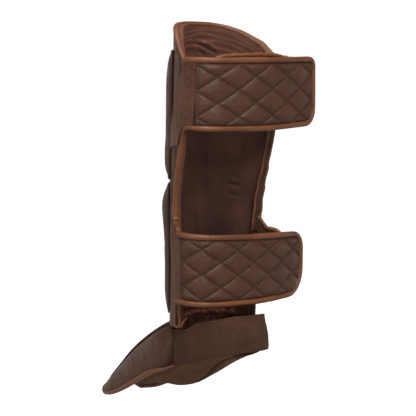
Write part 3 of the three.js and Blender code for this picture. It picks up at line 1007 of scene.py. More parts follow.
def fabric(
    name, colour, rough, grains, mottle=0.22, shade_dark=0.55, crest=1.25, sheen=0.0, weave=None, specular=0.5,
    speck=0.0022, contrast=1.45, sheen_tint=None, lit=0.0,
):
    """A finish with a mottled colour, painted shade in seams and hollows, crests paler partly from wear and partly as
    a painted highlight, and a fine grain.

    grains is a list of (kind, size of one grain in metres, height in metres). speck and contrast are the size and
    brightness of the colour's specks. lit is the brightness of a painted highlight on the highest relief. weave is
    the pitch of threads.
    """
    material = bpy.data.materials.new(name)
    material.use_nodes = True
    tree = material.node_tree
    tree.nodes.clear()
    coordinates = tree.nodes.new("ShaderNodeTexCoord")
    place = coordinates.outputs["Object"]
    out = tree.nodes.new("ShaderNodeOutputMaterial")
    shader = tree.nodes.new("ShaderNodeBsdfPrincipled")
    tree.links.new(shader.outputs[0], out.inputs[0])

    def cloud(size, detail=3.0, rough_=0.55):
        return add_node(
            tree, "ShaderNodeTexNoise", None, Vector=place, Scale=1 / size, Detail=detail, Roughness=rough_
        ).outputs[0]

    patches = ranged(tree, cloud(0.035), 0.3, 0.7)
    specks = ranged(tree, cloud(speck, 2.0), 0.38, 0.64)
    base = blend_colours(tree, patches, scaled(colour, 1 - mottle), scaled(colour, 1 + mottle))
    base = blend_colours(tree, ranged(tree, specks, 0, 1, 0, mottle * 1.6), base, scaled(colour, contrast))
    relief = add_node(tree, "ShaderNodeAttribute", {"attribute_name": "relief"}).outputs["Fac"]
    # the relief paints shade: below zero the colour darkens towards its darkest share in seams, grooves and hollows
    low = ranged(tree, relief, -0.9, -0.05, 1, 0)
    high = ranged(tree, relief, 0.05, 0.8, 0, 1)
    # above zero the crests pale, partly as wear and partly as a painted highlight
    worn = maths(tree, "MULTIPLY", high, ranged(tree, cloud(0.009), 0.35, 0.65))
    base = blend_colours(tree, maths(tree, "MULTIPLY", worn, 0.55), base, scaled(colour, crest * 1.15))
    base = blend_colours(tree, low, base, scaled(colour, shade_dark))
    # lit paints a bright highlight on the highest relief
    if lit:
        base = blend_colours(tree, ranged(tree, relief, 0.5, 1, 0, 0.9), base, scaled(colour, lit))
    tree.links.new(base, shader.inputs["Base Color"])
    gloss = ranged(tree, cloud(0.012), 0.3, 0.7, rough - 0.06, rough + 0.08)
    tree.links.new(gloss, shader.inputs["Roughness"])
    shader.inputs["Specular IOR Level"].default_value = specular
    if sheen:
        shader.inputs["Sheen Weight"].default_value = sheen
        shader.inputs["Sheen Roughness"].default_value = 0.5
        shader.inputs["Sheen Tint"].default_value = (*(sheen_tint or scaled(colour, 2.6)), 1)
    bumps = []
    for kind, size, height in grains:
        if kind == "pebble":
            cells = add_node(
                tree, "ShaderNodeTexVoronoi", {"feature": "SMOOTH_F1"},
                Vector=place, Scale=1 / size, Smoothness=0.4,
            ).outputs["Distance"]
            value = maths(tree, "SUBTRACT", 1.0, cells)
        elif kind == "crinkle":
            value = ranged(tree, maths(tree, "ABSOLUTE", maths(tree, "SUBTRACT", cloud(size, 4.0), 0.5)), 0, 0.12)
        else:
            value = cloud(size, 3.0)
        bumps.append((1.0, height, value))
    if weave:
        sheet = add_node(tree, "ShaderNodeUVMap", {"uv_map": "weave"}).outputs[0]
        for direction in ("X", "Y"):
            threads = add_node(
                tree, "ShaderNodeTexWave", {"wave_type": "BANDS", "bands_direction": direction},
                Vector=sheet, Scale=0.314 / weave, Distortion=0.6, Detail=1.0,
            ).outputs["Fac"]
            bumps.append((0.8, weave * 0.16, threads))
    under = {}
    for strength, height, value in bumps:
        rise = add_node(tree, "ShaderNodeBump", None, Strength=strength, Distance=height, Height=value, **under)
        under = {"Normal": rise.outputs[0]}
    tree.links.new(under["Normal"], shader.inputs["Normal"])
    return material


def finishes():
    """The guard's finishes, made once."""
    if "shell leather" in bpy.data.materials:
        return {m.name: m for m in bpy.data.materials}
    c = bpy.context.scene.guard_colours
    smooth_grain = [("crinkle", 0.011, 0.00022), ("pebble", 0.0013, 0.00014), ("cloud", 0.0007, 0.00006)]
    fabric("shell leather", c.leather, 0.44, smooth_grain, specular=0.2)
    fabric("quilted leather", c.leather, 0.42, smooth_grain, mottle=0.18, shade_dark=0.45, crest=1.3, specular=0.22)
    fabric("pad leather", scaled(c.leather, 0.95), 0.45, smooth_grain, mottle=0.2, specular=0.18)
    fabric(
        "wing suede", c.suede, 0.92, [("cloud", 0.0034, 0.0006), ("cloud", 0.0012, 0.0003)], mottle=0.4, sheen=0.5,
        specular=0.15, speck=0.003, contrast=2.3, sheen_tint=(0.42, 0.32, 0.26),
    )
    fabric(
        "edge binding", c.binding, 0.36,
        [("crinkle", 0.006, 0.00015), ("pebble", 0.0011, 0.0001)], mottle=0.16, shade_dark=0.4, specular=0.34,
    )
    fabric(
        "pale hem", scaled(c.binding, 1.5), 0.5,
        [("crinkle", 0.005, 0.00015), ("pebble", 0.001, 0.0001)], mottle=0.16,
    )
    # the lining cloth paints strong highlights on its high relief through its crest and lit values
    cloths = (
        ("rim facing", scaled(c.lining, 0.8), 0.8, (0.0018, 0.0002), 0.25, 0.25, 0.15, {}),
        ("lining cloth", c.lining, 0.72, (0.004, 0.0002), 0.16, 0.25, 0.1,
         {"weave": 0.0011, "shade_dark": 0.25, "crest": 1.7, "lit": 3.4}),
        ("elastic", c.stretch, 0.82, (0.0011, 0.00012), 0.24, 0.25, 0.1, {"weave": 0.0012}),
        ("heel cloth", c.band, 0.88, (0.0016, 0.00025), 0.26, 0.2, 0.2, {"weave": 0.0009}),
        ("sole cloth", c.sole, 0.88, (0.0018, 0.00025), 0.3, 0.2, 0.15, {"weave": 0.0009}),
    )
    for name, dye, rough, grain, mottle, specular, sheen, more in cloths:
        fabric(name, dye, rough, [("cloud", *grain)], mottle=mottle, specular=specular, sheen=sheen, **more)
    fabric("edge facing", scaled(c.leather, 1.0), 0.7, [("crinkle", 0.005, 0.0003)], mottle=0.3, specular=0.2)
    fabric("sewing thread", c.thread, 0.6, [("cloud", 0.0005, 0.00008)], mottle=0.15)
    return {m.name: m for m in bpy.data.materials}


# Pieces


def straps():
    sizes = bpy.context.scene.guard_sizes
    return (
        Strap(UPPER_STRAP, sizes.quilt_upper, sizes.seed + 100),
        Strap(LOWER_STRAP, sizes.quilt_lower, sizes.seed + 200),
    )


class GUARD_OT_shell(bpy.types.Operator):
    """Builds the foam shin shell under its smooth leather"""

    bl_idname = "guard.shell"
    bl_label = "Shin shell"

    def execute(self, context):
        seed = context.scene.guard_sizes.seed
        u, v = net(150, 170, 0.55, 0.35)
        face, normal = shell_surface(u, v), facing(shell_surface, u, v)
        arc, z = (u - 0.5) * SHELL_GRID[0], face[..., 2]
        side = smooth(np.abs(arc), 62, 88)
        upright = folds(arc * 2.3, z * 0.5, 24, seed + 11)
        drawn = creases(arc, z, [
            (101, 150, 97, 205, 0.9, 1.6), (95, 140, 92, 190, 0.7, 1.8), (103, 206, 98, 236, 0.7, 1.4),
            (99, 128, 93, 146, 1.0, 1.3), (104, 132, 96, 138, 0.9, 1.1), (89, 168, 90, 222, 0.6, 2.0),
            (-101, 150, -97, 215, 0.8, 1.7), (-94, 145, -92, 200, 0.7, 1.8), (-102, 130, -94, 142, 0.9, 1.3),
        ])
        margin = inset(u, v, SHELL_GRID)
        seam = -0.8 * bump(margin, 0, 3.0)
        soft = 0.35 * lumps(arc, z, 34, seed + 1) + 0.15 * lumps(arc, z, 8, seed + 2)
        soft = soft + side * 0.9 * (upright - 0.6)
        lift = (soft - drawn) * smooth(margin, 0, 8) + seam - 0.1
        # relief paints shade in the side folds' valleys, in the drawn creases and along the edge, and highlights on
        # the fold ridges
        relief = np.clip(side * (upright - 0.7) * 0.9 - drawn * 0.7 + seam * 0.5, -1, 1)
        piece = surface_piece(
            "shell_leather", raised(face, normal, lift), raised(face, normal, -foam(u, v)),
            finishes()["shell leather"], (arc, z), relief,
        )
        settle(piece, "leather", "shin_shell")
        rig.padded(piece, fill=0.8)
        return {"FINISHED"}


def lining_face(u, v):
    return raised(shell_surface(u, v), facing(shell_surface, u, v), -(foam(u, v) + LINING_GAP))


class GUARD_OT_lining(bpy.types.Operator):
    """Lays the lining cloth inside the shell and gathers the cloth at the ankle"""

    bl_idname = "guard.lining"
    bl_label = "Lining"

    def execute(self, context):
        seed = context.scene.guard_sizes.seed + 300
        m = finishes()
        u, v = net(150, 170, 0.3, 0.3)
        face = lining_face(u, v)
        normal = facing(shell_surface, u, v)
        arc, z = (u - 0.5) * LINING_WIDTH, face[..., 2]
        top = eased(RIM, mix(-86, 88, u)) - z
        rim_folds = sum(
            1.5 * bump(top, at + 2.0 * noise(arc, 0, 30, seed + k), 1.5) for k, at in enumerate((7, 13, 20, 28))
        )
        rim_folds = rim_folds * (0.3 + 0.7 * smooth(arc, -50, 40)) * (1 - 0.6 * smooth(arc, 60, 85))
        soft = 0.8 * lumps(arc, z, 48, seed + 1) + 0.55 * (folds(arc * 1.6, z * 0.6, 42, seed + 2) - 0.5)
        drawn = creases(arc, z, [
            (6, 359, -10, 352, 3.2, 2.4), (-4, 357, -22, 347, 2.6, 2.2), (6, 352, -6, 345, 2.4, 2.2),
            (18, 363, 4, 359, 1.6, 2), (-66, 172, -46, 176, 0.9, 2.4), (-68, 158, -48, 162, 0.8, 2.2),
            (-64, 182, -52, 184, 0.5, 2.4),
        ])
        margin = np.minimum(np.minimum(u, 1 - u) * LINING_WIDTH, top)
        lift = (rim_folds + soft - drawn) * smooth(margin, 2, 12)
        # window paints shade on the lining seen inside the window between the straps
        window = smooth(z, 30, 60) * (1 - smooth(z, 268, 300))
        # lit paints a highlight high on the near side of the lining
        lit = smooth(arc, 40, 62) * smooth(z, 300, 325)
        # valley paints shade between the folds under the rim
        valley = smooth(rim_folds, 0.5, 0.0) * smooth(top, 42, 30) * smooth(top, 2, 6)
        # a streak of painted light along the near edge, taken off the window's painted shade
        lit_streak = 0.55 * bump(arc, 88, 2.2) * np.maximum(bump(z, 215, 14), bump(z, 142, 18))
        # the window's painted shade is stronger lower down
        window = window * (0.55 + 0.2 * smooth(z, 210, 150)) - lit_streak
        # relief: highlights painted on the folds and the lit patch, shade painted in the valleys, the creases and the
        # window
        relief = soft * 0.25 + rim_folds * 0.3 - 0.45 * valley - 0.45 * drawn - window + 0.75 * lit
        # a pale patch low on the far side paints light into the window's shade
        relief = np.clip(relief + 0.35 * bump(np.hypot(arc + 68, (z - 122) * 0.7), 0, 16), -1, 1)
        inner = raised(face, normal, -(LINING_WALL + np.maximum(lift + 0.4, 0)))
        piece = surface_piece("lining", face, inner, m["lining cloth"], (arc, z), relief, inside=True)
        settle(piece, "lining", "shin_lining")
        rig.sheet(piece, flat=(0.195, 0.385), held="stretched", rests_on=["shell_leather"], area=0.0715)

        # gathered cloth inside the ankle
        u, v = net(190, 22)
        at = mix(0.12, 0.88, u)
        degrees = mix(far_edge(0.0), near_edge(0.0), at)
        tall = mix(-15, 13, v) + 1.8 * noise(u * 200, 0 * v, 9, seed + 8) * smooth(v, 0.4, 1)
        arc = (u - 0.5) * GATHER_WIDTH
        band = bump(tall - 3.5 - 1.5 * noise(arc, 0 * arc, 26, seed + 9), 0, 3.2)
        pulled = folds(arc * 0.8, tall * 2.6, 13, seed + 10) - 0.5
        crumple = noise(arc, tall, 3.6, seed + 11)
        ruffle = 2.0 * band + 0.9 * crumple * (0.3 + band) + 1.1 * pulled * (1 - band)
        normal = facing(shell_surface, at, 0 * v)
        mid = raised(shin_point(degrees, tall), normal, -(foam(at) + LINING_GAP + LINING_WALL + LAY + 1.8))
        # relief paints a highlight along the crumpled band and on the pulled folds' ridges, and shade above the band
        # and in the folds' hollows
        relief = 0.95 * band + 0.5 * crumple * band + 1.3 * (pulled - 0.1) * (1 - band) - 0.9 * smooth(tall, 7, 10)
        piece = surface_piece(
            "ankle_gather_cloth", raised(mid, normal, 0.9 - 0.6 * np.maximum(ruffle, -1)),
            raised(mid, normal, -(0.6 + 0.8 * ruffle)), m["lining cloth"], (arc, tall), np.clip(relief, -1, 1),
            inside=True,
        )
        settle(piece, "lining", "ankle_gather")
        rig.sheet(piece, flat=(0.16, 0.03), held="gathered", rests_on=["lining"], area=0.0046)
        return {"FINISHED"}


class GUARD_OT_front_pads(bpy.types.Operator):
    """Fills the two raised pads over the shin bone"""

    bl_idname = "guard.front_pads"
    bl_label = "Front pads"

    def execute(self, context):
        sizes, m = context.scene.guard_sizes, finishes()
        lines = []
        for name, (low, high, spread, thick, crown) in FRONT_PADS.items():
            seed = sizes.seed + 400 + low
            u, v = net(96, 110, 0.75, 0.75)

            def face(a, b):
                return shin_point(mix(-spread, spread, a), mix(low, high, b))

            def swell(a, b, peak=0.0):
                return 1.5 + (thick - 1.5 + peak) * (1 - np.abs(2 * a - 1) ** 4) * (1 - np.abs(2 * b - 1) ** 6)

            points, normal = face(u, v), facing(face, u, v)
            wide, tall = spread * 2.6, high - low
            arc, z = (u - 0.5) * wide, points[..., 2]
            margin = inset(u, v, (wide, tall))
            edge_run = np.where(np.minimum(u, 1 - u) * wide < np.minimum(v, 1 - v) * tall, z, arc)
            pucker = 0.55 * noise(edge_run, margin * 0.25, 5.5, seed) * bump(margin, 6, 6)
            soft = 0.5 * lumps(arc, z, 30, seed + 1) + 0.4 * (folds(arc, z * 0.7, 26, seed + 2) - 0.6)
            lift = swell(u, v, crown * bump(v, 0.85, 0.16)) + (pucker + soft * smooth(margin, 2, 14))
            # relief paints shade along the pad's stitched border and in the puckers' hollows, and highlights on their
            # ridges
            relief = np.clip(pucker + 0.3 * soft - 0.8 * bump(margin, 0, 2.5), -1, 1)
            piece = surface_piece(
                f"{name}_cover", raised(points, normal, LAY + lift), points + normal * LAY, m["pad leather"],
                (arc, z), relief,
            )
            settle(piece, "pad", name)
            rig.padded(piece, fill=0.75)
            t = np.linspace(0, 1, 160)
            for a, b in ((0 * t + 0.012, t), (0 * t + 0.988, t), (t, 0 * t + 0.01), (t, 0 * t + 0.99)):
                a, b = np.clip(a, 0.012, 0.988), np.clip(b, 0.01, 0.99)
                n = facing(face, a, b)
                lines.append((raised(face(a, b), n, LAY + swell(a, b) + 0.25), n))
        settle(thread_piece("front_pad_stitches", lines, m["sewing thread"], sizes), "pad")
        return {"FINISHED"}


def nap(c, z, seed):
    """The suede's unevenness."""
    return 0.3 * lumps(c, z, 14, seed) + 0.25 * (folds(c * 1.5, z * 0.6, 16, seed + 1) - 0.5)


def near_wing(strap, seam, tops, lows):
    """The suede from its seam on the shell, over the shell's edge, to where the quilting starts.

    tops and lows are its heights at the shell's edge and at the seam.
    """
    spec = strap.spec
    fillet_high, fillet_low = spec["fillet"]
    on_shell, on_root, rows = 46, 22, 90
    k = np.concatenate([np.linspace(1, 0.03, on_shell), [0.012], np.zeros(on_root)])
    q = np.concatenate([np.zeros(on_shell + 1), np.linspace(0, 1, on_root)])
    k, v = np.meshgrid(k, spaced(rows, 0.4), indexing="ij")
    middle = np.array(0.5 * (spec["low"] + spec["high"]))
    reach = spec["root"] - float(start_of(spec["plan"], middle, near_edge))
    c = (q * reach)[:, None] + 0 * v
    on_strap = np.zeros(k.shape, bool)
    on_strap[on_shell + 1:] = True
    root_low = spec["low"] - (corner_cut(c, fillet_low) if fillet_low else 0)
    root_high = spec["high"] + (corner_cut(c, fillet_high) if fillet_high else 0)
    z = mix(np.where(on_strap, root_low, mix(*lows, k)), np.where(on_strap, root_high, mix(*tops, k)), v)
    c = np.where(on_strap, c, k * ((eased(seam, z) - near_edge(z)) * DEGREE))
    spot = shin_point(near_edge(z) + c / DEGREE, z)
    n1 = shin_normal(spot)
    s = start_of(spec["plan"], z, near_edge) + c
    w = smooth(c, -5, 1.5)[..., None]
    return mix(spot + n1 * 2.5, strap.place(s, z), w), unit(mix(n1, strap.normal(s), w)), c, z, k, on_strap


class GUARD_OT_wings(bpy.types.Operator):
    """Lays the suede wings on the sides, and on the near side carries them on to the straps"""

    bl_idname = "guard.wings"
    bl_label = "Suede wings"

    def execute(self, context):
        sizes, m = context.scene.guard_sizes, finishes()
        upper, lower = straps()
        lines = []
        for name, strap, seam, tops, lows, nodes in (
            ("wing_upper_near", upper, UPPER_SEAM, (337.2, 337.2), (233.5, 228.5),
             ("side_panel_upper_near", "upper_strap_root")),
            ("wing_lower_near", lower, LOWER_SEAM, (131, 123), (-1, 0),
             ("side_panel_lower_near", "lower_strap_root")),
        ):
            seed = sizes.seed + 500 + len(name)
            place, normal, c, z, k, on_strap = near_wing(strap, seam, tops, lows)
            # join dips the suede at its seam, and the relief paints shade in that groove and in the nap's hollows
            join = bump((1 - k) * 30, 0, 2.2) * (~on_strap)
            rough = nap(c, z, seed) - 1.3 * join
            wall = np.where(on_strap, STRAP_WALL, 1.8)
            piece = surface_piece(
                name, raised(place, normal, rough), raised(place, normal, -wall), m["wing suede"], (c, z),
                np.clip(rough * 0.3 - join * 0.8, -1, 1),
            )
            settle(piece, "suede", *nodes)
            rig.padded(piece, fill=0.2)
            lines.append(((place[2] + normal[2] * 0.35)[3:-3], normal[2][3:-3]))
        for name, low, high, low_seam, high_seam in (
            ("wing_upper_far", 232, 344, -63, -78), ("wing_lower_far", 8, 138, -60, -60),
        ):
            seed = sizes.seed + 520 + len(name)
            u, v = net(30, 90, 0.5, 0.5)
            z = mix(low, high, v)
            degrees = mix(far_edge(z) + 1, mix(low_seam, high_seam, v), u)
            spot = shin_point(degrees, z)
            normal, c = shin_normal(spot), (degrees + 84) * DEGREE
            margin = np.minimum(1 - u, np.minimum(v * 4, (1 - v) * 4)) * 28
            # the relief paints shade along the wing's seams and in the nap's hollows, and highlights on its lumps
            rough = nap(c, z, seed) - 1.0 * bump(margin, 0, 2.0)
            piece = surface_piece(
                name, raised(spot, normal, 2.5 + rough), spot + normal * LAY, m["wing suede"], (c, z),
                np.clip(rough * 0.3, -1, 1),
            )
            settle(piece, "suede", f"side_panel_{name[5:]}")
            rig.padded(piece, fill=0.1)
            lines.append((spot[-3] + normal[-3] * 2.4, normal[-3]))
        settle(thread_piece("wing_stitches", lines, m["sewing thread"], sizes), "suede")
        return {"FINISHED"}


class GUARD_OT_straps(bpy.types.Operator):
    """Quilts the two wide straps"""

    bl_idname = "guard.straps"
    bl_label = "Quilted straps"

    def execute(self, context):
        sizes, m = context.scene.guard_sizes, finishes()
        for name, strap in zip(("upper_strap", "lower_strap"), straps()):
            spec = strap.spec
            u, v = net(230, 84, 0.12, 0.3)
            s = mix(spec["root"] + 0.05, strap.length, u)
            cut_low = corner_cut(strap.length - s, spec["corner_low"])
            cut_high = corner_cut(strap.length - s, spec["corner_high"])
            z = mix(strap.low(s) + cut_low, strap.high(s) - cut_high, v)
            face, normal = strap.place(s, z), strap.normal(s)
            puff = sizes.quilt_puff * 1000
            height, relief = strap.lift(s, z, puff)
            back = 0.4 * lumps(s, z, 26, strap.seed + 60)
            piece = surface_piece(
                f"{name}_quilt", raised(face, normal, height), raised(face, normal, -(STRAP_WALL - 0.5 + back)),
                m["quilted leather"], (s, z), relief,
            )
            settle(piece, "leather", name)
            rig.padded(piece, fill=0.6)
            threads = thread_piece(f"{name}_stitches", strap.seam_lines(puff), m["sewing thread"], sizes)
            settle(threads, "leather")
        return {"FINISHED"}


def strap_outline(strap, roll):
    """The binding's stations on a strap: along the top, round the free end and back along the bottom."""
    spec, length = strap.spec, strap.length
    starts = [
        float(start_of(spec["plan"], np.array(spec[level]), near_edge)) + 1 + fillet
        for level, fillet in zip(("high", "low"), spec["fillet"])
    ]
    s = np.arange(starts[0], length - spec["corner_high"], 2.0)
    rows = [(s, strap.high(s), 0 * s, 1 + 0 * s)]
    turn = np.linspace(0, np.pi / 2, 10)
    for radius, flip, t in ((spec["corner_high"], 1, turn), (spec["corner_low"], -1, turn[::-1])):
        at = length - radius + radius * np.sin(t)
        level = strap.high(at) if flip > 0 else strap.low(at)
        rows.append((at, level - flip * corner_cut(length - at, radius), np.sin(t), flip * np.cos(t)))
    s = np.arange(length - spec["corner_low"], starts[1], -2.0)
    rows.append((s, strap.low(s), 0 * s, -1 + 0 * s))
    s, z, along_strap, upwards = (np.concatenate(column) for column in zip(*rows))
    heading, deep = strap.plan.heading(s), strap.normal(s)
    out = stack(heading[:, 0] * along_strap, heading[:, 1] * along_strap, upwards)
    middle = strap.place(s, z) - deep * (STRAP_WALL / 2 + 0.1)
    return Run(middle + out * roll, out, deep, STRAP_BINDING, STRAP_WALL / 2 + 1.25)


def window_corner(strap, radius, level, flip, roll):
    """The binding's round turn from a strap's edge on to the shell's near edge."""
    t = np.linspace(0, np.pi / 2, 12)
    c, z = radius * (1 - np.sin(t)), level + flip * radius * (1 - np.cos(t))
    s = start_of(strap.spec["plan"], z, near_edge) + c
    heading, deep = strap.plan.heading(s), strap.normal(s)
    out = stack(heading[:, 0] * np.sin(t), heading[:, 1] * np.sin(t), flip * np.cos(t))
    w = np.sin(t) ** 2
    sunk, outward = STRAP_WALL / 2 + 0.1 + 3.2 * w, mix(roll, 0.6, w)
    place = strap.place(s, z) - deep * sunk[:, None] + out * outward[:, None]
    return Run(place, out, deep, mix(STRAP_BINDING, 3.2, w), mix(4.5, 3.7, w))


class GUARD_OT_edges(bpy.types.Operator):
    """Rolls the bindings round the rim, the straps and the window between them"""

    bl_idname = "guard.edges"
    bl_label = "Edge bindings"

    def execute(self, context):
        sizes, m = context.scene.guard_sizes, finishes()
        tan, seed = m["edge binding"], sizes.seed + 600
        upper, lower = straps()
        roll = sizes.strap_roll * 1000 - 3.4  # how far the binding's middle lies outside the strap's edge

        # rim, upper strap, near edge and lower strap in one course
        u = np.linspace(0.0, 1.0, 130)
        slim = smooth(u, 0.75, 0.97)
        rim = shell_run(u, 1, 0, 1, share=0.0, half_out=3.6 - 0.5 * slim, half_deep=3.9 - 1.2 * slim)
        rim = rim.moved(out=0.9, deep=-3.6 + 1.2 * slim)
        top, low = strap_outline(upper, roll), strap_outline(lower, roll)
        v = np.linspace(share_of_height(239), share_of_height(128), 60)
        edge = shell_run(1.0, v, 1, 0, share=0.32, half_out=3.2, half_deep=3.7).moved(out=0.6)
        whole, marks = rim, []
        turn_up = window_corner(upper, UPPER_STRAP["fillet"][1], UPPER_STRAP["low"], -1, roll)
        turn_low = window_corner(lower, LOWER_STRAP["fillet"][0], LOWER_STRAP["high"], 1, roll)
        for part in (top, turn_up + edge, turn_low[::-1] + low):
            marks.append(whole.distance()[-1])
            whole = whole + part
        whole = whole.even(1.5).eased(3)
        d = whole.distance()

        def waves(size, k):
            return noise(d, 0 * d, size, seed + k)

        crush = bump(d, marks[2] - 5, 12)
        whole = whole.sized(
            whole.half_out * (1 + 0.05 * waves(22, 0)) + crush * 0.9 * waves(2.6, 2),
            whole.half_deep * (1 + 0.04 * waves(17, 1)) + crush * 0.8 * waves(3.0, 3),
        ).moved(out=0.25 * waves(30, 4) + crush * 1.1 * waves(2.6, 2))
        # relief pales the roll where it swells and darkens it where it thins, and paints shade in the crushed
        # binding's gaps by the window
        whole.relief[:] = 0.35 * waves(22, 0) - 0.7 * crush * np.maximum(-waves(2.6, 2), 0)
        parts = [0, *(int(np.searchsorted(d, mark)) for mark in marks), len(d) - 1]
        names = (
            ("rim_roll", "rim_binding"), ("upper_strap_roll", "upper_strap_binding"),
            ("window_roll", "edge_binding_near_upper"), ("lower_strap_roll", "lower_strap_binding"),
        )
        for (name, node), a, b in zip(names, parts, parts[1:]):
            settle(binding_piece(name, [whole[a:b + 1]], tan, round_points=18), "binding", node)

        # the facing inside the rim and the near edge
        u = np.linspace(0.01, 0.99, 120)
        wall = foam(u, 1.0) + 1.5
        slim = smooth(u, 0.75, 0.97)
        inside = 6.9 - 2.4 * slim
        half = (wall - inside + 0.4) / 2
        facing_run = shell_run(u, 1, 0, 1, share=0.0, half_out=3.0, half_deep=half)
        facing_run = facing_run.moved(out=-0.6, deep=-(inside + half - 0.3))
        ridge = shell_run(u, 1, 0, 1, share=0.0, half_out=1.5 - 0.5 * slim, half_deep=1.4 - 0.6 * slim)
        ridge = ridge.moved(out=0.9 - 0.8 * slim, deep=-(wall - 0.2))
        v = np.linspace(share_of_height(250), share_of_height(122), 60)
        strip = shell_run(1.0, v, 1, 0, share=0.84, half_out=2.4, half_deep=2.4).moved(out=0.1)
        settle(binding_piece("rim_facing", [facing_run, strip], m["rim facing"], 14, 0.6), "lining")
        settle(binding_piece("rim_inner_ridge", [ridge], tan, 12, 0.9), "binding")

        # the far edge: a dark face between two thin pipings
        v = np.linspace(share_of_height(252), share_of_height(112), 110)
        z = mix(SHIN_LOW, 350, v)
        deeper = 4.5 * smooth(z, 215, 140)
        wave = noise(z, 0 * z, 7, seed + 11) * smooth(z, 235, 190)
        face = shell_run(0.0, v, -1, 0, share=0.5, half_out=2.6, half_deep=5.0 + deeper / 2)
        face = face.moved(out=0.2, deep=-deeper / 2)
        face.relief[:] = -0.25 + 0.3 * noise(z, 0 * z, 9, seed + 12)
        piece = binding_piece("far_edge_face", [face], m["edge facing"], 16, 0.45)
        settle(piece, "binding", "edge_binding_far_upper")
        pipes = []
        for at, down, half in ((-0.1, 0, 2.3), (1.05, 1, 1.5)):
            pipe = shell_run(0.0, v, -1, 0, share=at, half_out=half, half_deep=half)
            pipes.append(pipe.moved(out=1.7 + 0.6 * wave, deep=0.5 * wave - down * deeper))
            # the pipings' relief paints light where they bulge out and shade where they sink
            pipes[-1].relief[:] = 0.5 * wave
        settle(binding_piece("far_edge_pipings", pipes, tan, 12, 0.9), "binding")

        # the ankle
        ends = []
        for u_at, du, high, slim in ((1.0, 1, 33, 1.0), (0.0, -1, 34, 0.3)):
            v = np.linspace(share_of_height(high), share_of_height(-3), 30)
            taper = np.linspace(0, slim, 30)
            end = shell_run(u_at, v, du, 0, share=0.36, half_out=3.1 - 1.5 * taper, half_deep=4.6 - 3.2 * taper)
            ends.append(end.moved(out=1.1 - 0.5 * taper, deep=0.4 + 0.6 * taper))
        for side, end, finish in zip(("near", "far"), ends, (tan, m["edge facing"])):
            settle(binding_piece(f"ankle_edge_{side}", [end], finish, 16), "binding", f"edge_binding_{side}_ankle")
        u = np.linspace(0.01, 0.99, 120)
        hem = shell_run(u, 0, 0, -1, share=0.5, half_out=2.2).moved(out=0.8)
        t, corner = np.linspace(0, 1, 20), (np.array(1.0), np.array(0.0))
        deep = facing(shell_surface, *corner)
        tail = shell_surface(*corner) - deep * 4.5 + t[:, None] * np.array([-9.5, 1.5, 10.0])
        tail = tail + deep * (1.2 * np.sin(np.pi * t))[:, None]
        tab = Run(tail, stack(0 * t, 0 * t + 1, 0 * t), np.tile([-10.0, 0, -9.0], (20, 1)), 1.2, 1.5)
        settle(binding_piece("ankle_hem", [hem, tab], m["pale hem"], 16), "binding", "ankle_binding")
        return {"FINISHED"}


class Flap:
    """An elastic under-strap from the far side."""

    def __init__(self, spec):
        self.spec, self.plan = spec, Plan(spec["plan"])
        self.length = self.plan.length

    def edges(self, share):
        spec, t = self.spec, smooth(share, 0, 0.25)
        low, high = mix(spec["root_low"], spec["low"], t), mix(spec["root_high"], spec["high"], t)
        return low + eased(spec["rise"], share), high - eased(spec["dip"], share)

    def face(self, share, v):
        z = mix(*self.edges(share), v)
        s = mix(start_of(self.spec["plan"], z, far_edge), self.length, share)
        xy, heading = self.plan.at(s), self.plan.heading(s)
        return stack(xy[..., 0], xy[..., 1], z), stack(-heading[..., 1], heading[..., 0], 0 * z), s


class GUARD_OT_flaps(bpy.types.Operator):
    """Lays the ribbed elastic under-straps and their bindings"""

    bl_idname = "guard.flaps"
    bl_label = "Elastic under-straps"

    def execute(self, context):
        sizes, m = context.scene.guard_sizes, finishes()
        for name, spec in (("upper_flap", UPPER_FLAP), ("lower_flap", LOWER_FLAP)):
            seed = sizes.seed + 700 + len(name) + spec["low"]
            flap = Flap(spec)
            u, v = net(240, 44, 0.0, 0.2)
            place, normal, s = flap.face(u, v)
            z = place[..., 2]
            pitch = sizes.rib_pitch * 1600
            ribs = 0.28 * np.cos(2 * np.pi * (z + 0.6 * noise(s, z, 40, seed)) / pitch)
            scrunch = 0.5 * noise(s, z * 0.25, 4.2, seed + 1) * (0.35 + bump(v, 1, 0.18) + bump(v, 0, 0.18))
            lift = (ribs * smooth(np.minimum(v, 1 - v), 0.02, 0.08) + scrunch) * smooth(u, 0.0, 0.05)
            # the elastic's relief follows lift: painted highlights on the ribs and puckers, painted shade between them
            piece = surface_piece(
                f"{name}_elastic", raised(place, normal, lift - 0.3),
                raised(place, normal, -(FLAP_WALL - 0.4 - 0.6 * lift)), m["elastic"],
                (s, z), np.clip(lift * 0.8, -1, 1),
            )
            settle(piece, "stretch", name)
            width = float(np.mean(z[:, -1] - z[:, 0]))
            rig.sheet(
                piece, flat=(round(width / 1000, 3), round(flap.length / 1000, 3)), held="stretched",
                area=round(width * (flap.length - 4) * 1.0e-6, 5),
            )
            for edge, at, up in (("top", 1.0, 1), ("bottom", 0.0, -1)):
                t = np.linspace(0, 1, int(flap.length / 1.5))
                place, normal, s = flap.face(t, 0 * t + at)
                out = stack(0 * t, 0 * t, 0 * t + up)
                crush = 0.35 + 1.3 * bump(t, 0.06, 0.1) if name == "lower_flap" else 0.3 + 0 * t
                wave, sway, swell = (
                    crush * noise(s, 0 * s, size, seed + k) for k, size in ((3, 4.0), (4, 5.0), (5, 3.0))
                )
                middle = place - normal * (FLAP_WALL / 2) + out * (0.9 + 1.1 * wave)[:, None]
                # the roll's relief paints light where it bulges out and shade where it crumples in
                run = Run(
                    raised(middle, normal, 0.8 * sway), out, normal, 2.5 + 0.6 * crush + 0.5 * swell,
                    2.5 + 0.4 * crush + 0.4 * wave, 0.7 * wave,
                )
                piece = binding_piece(f"{name}_roll_{edge}", [run], m["edge binding"], 12)
                settle(piece, "binding", f"{name}_binding_{edge}")
        return {"FINISHED"}


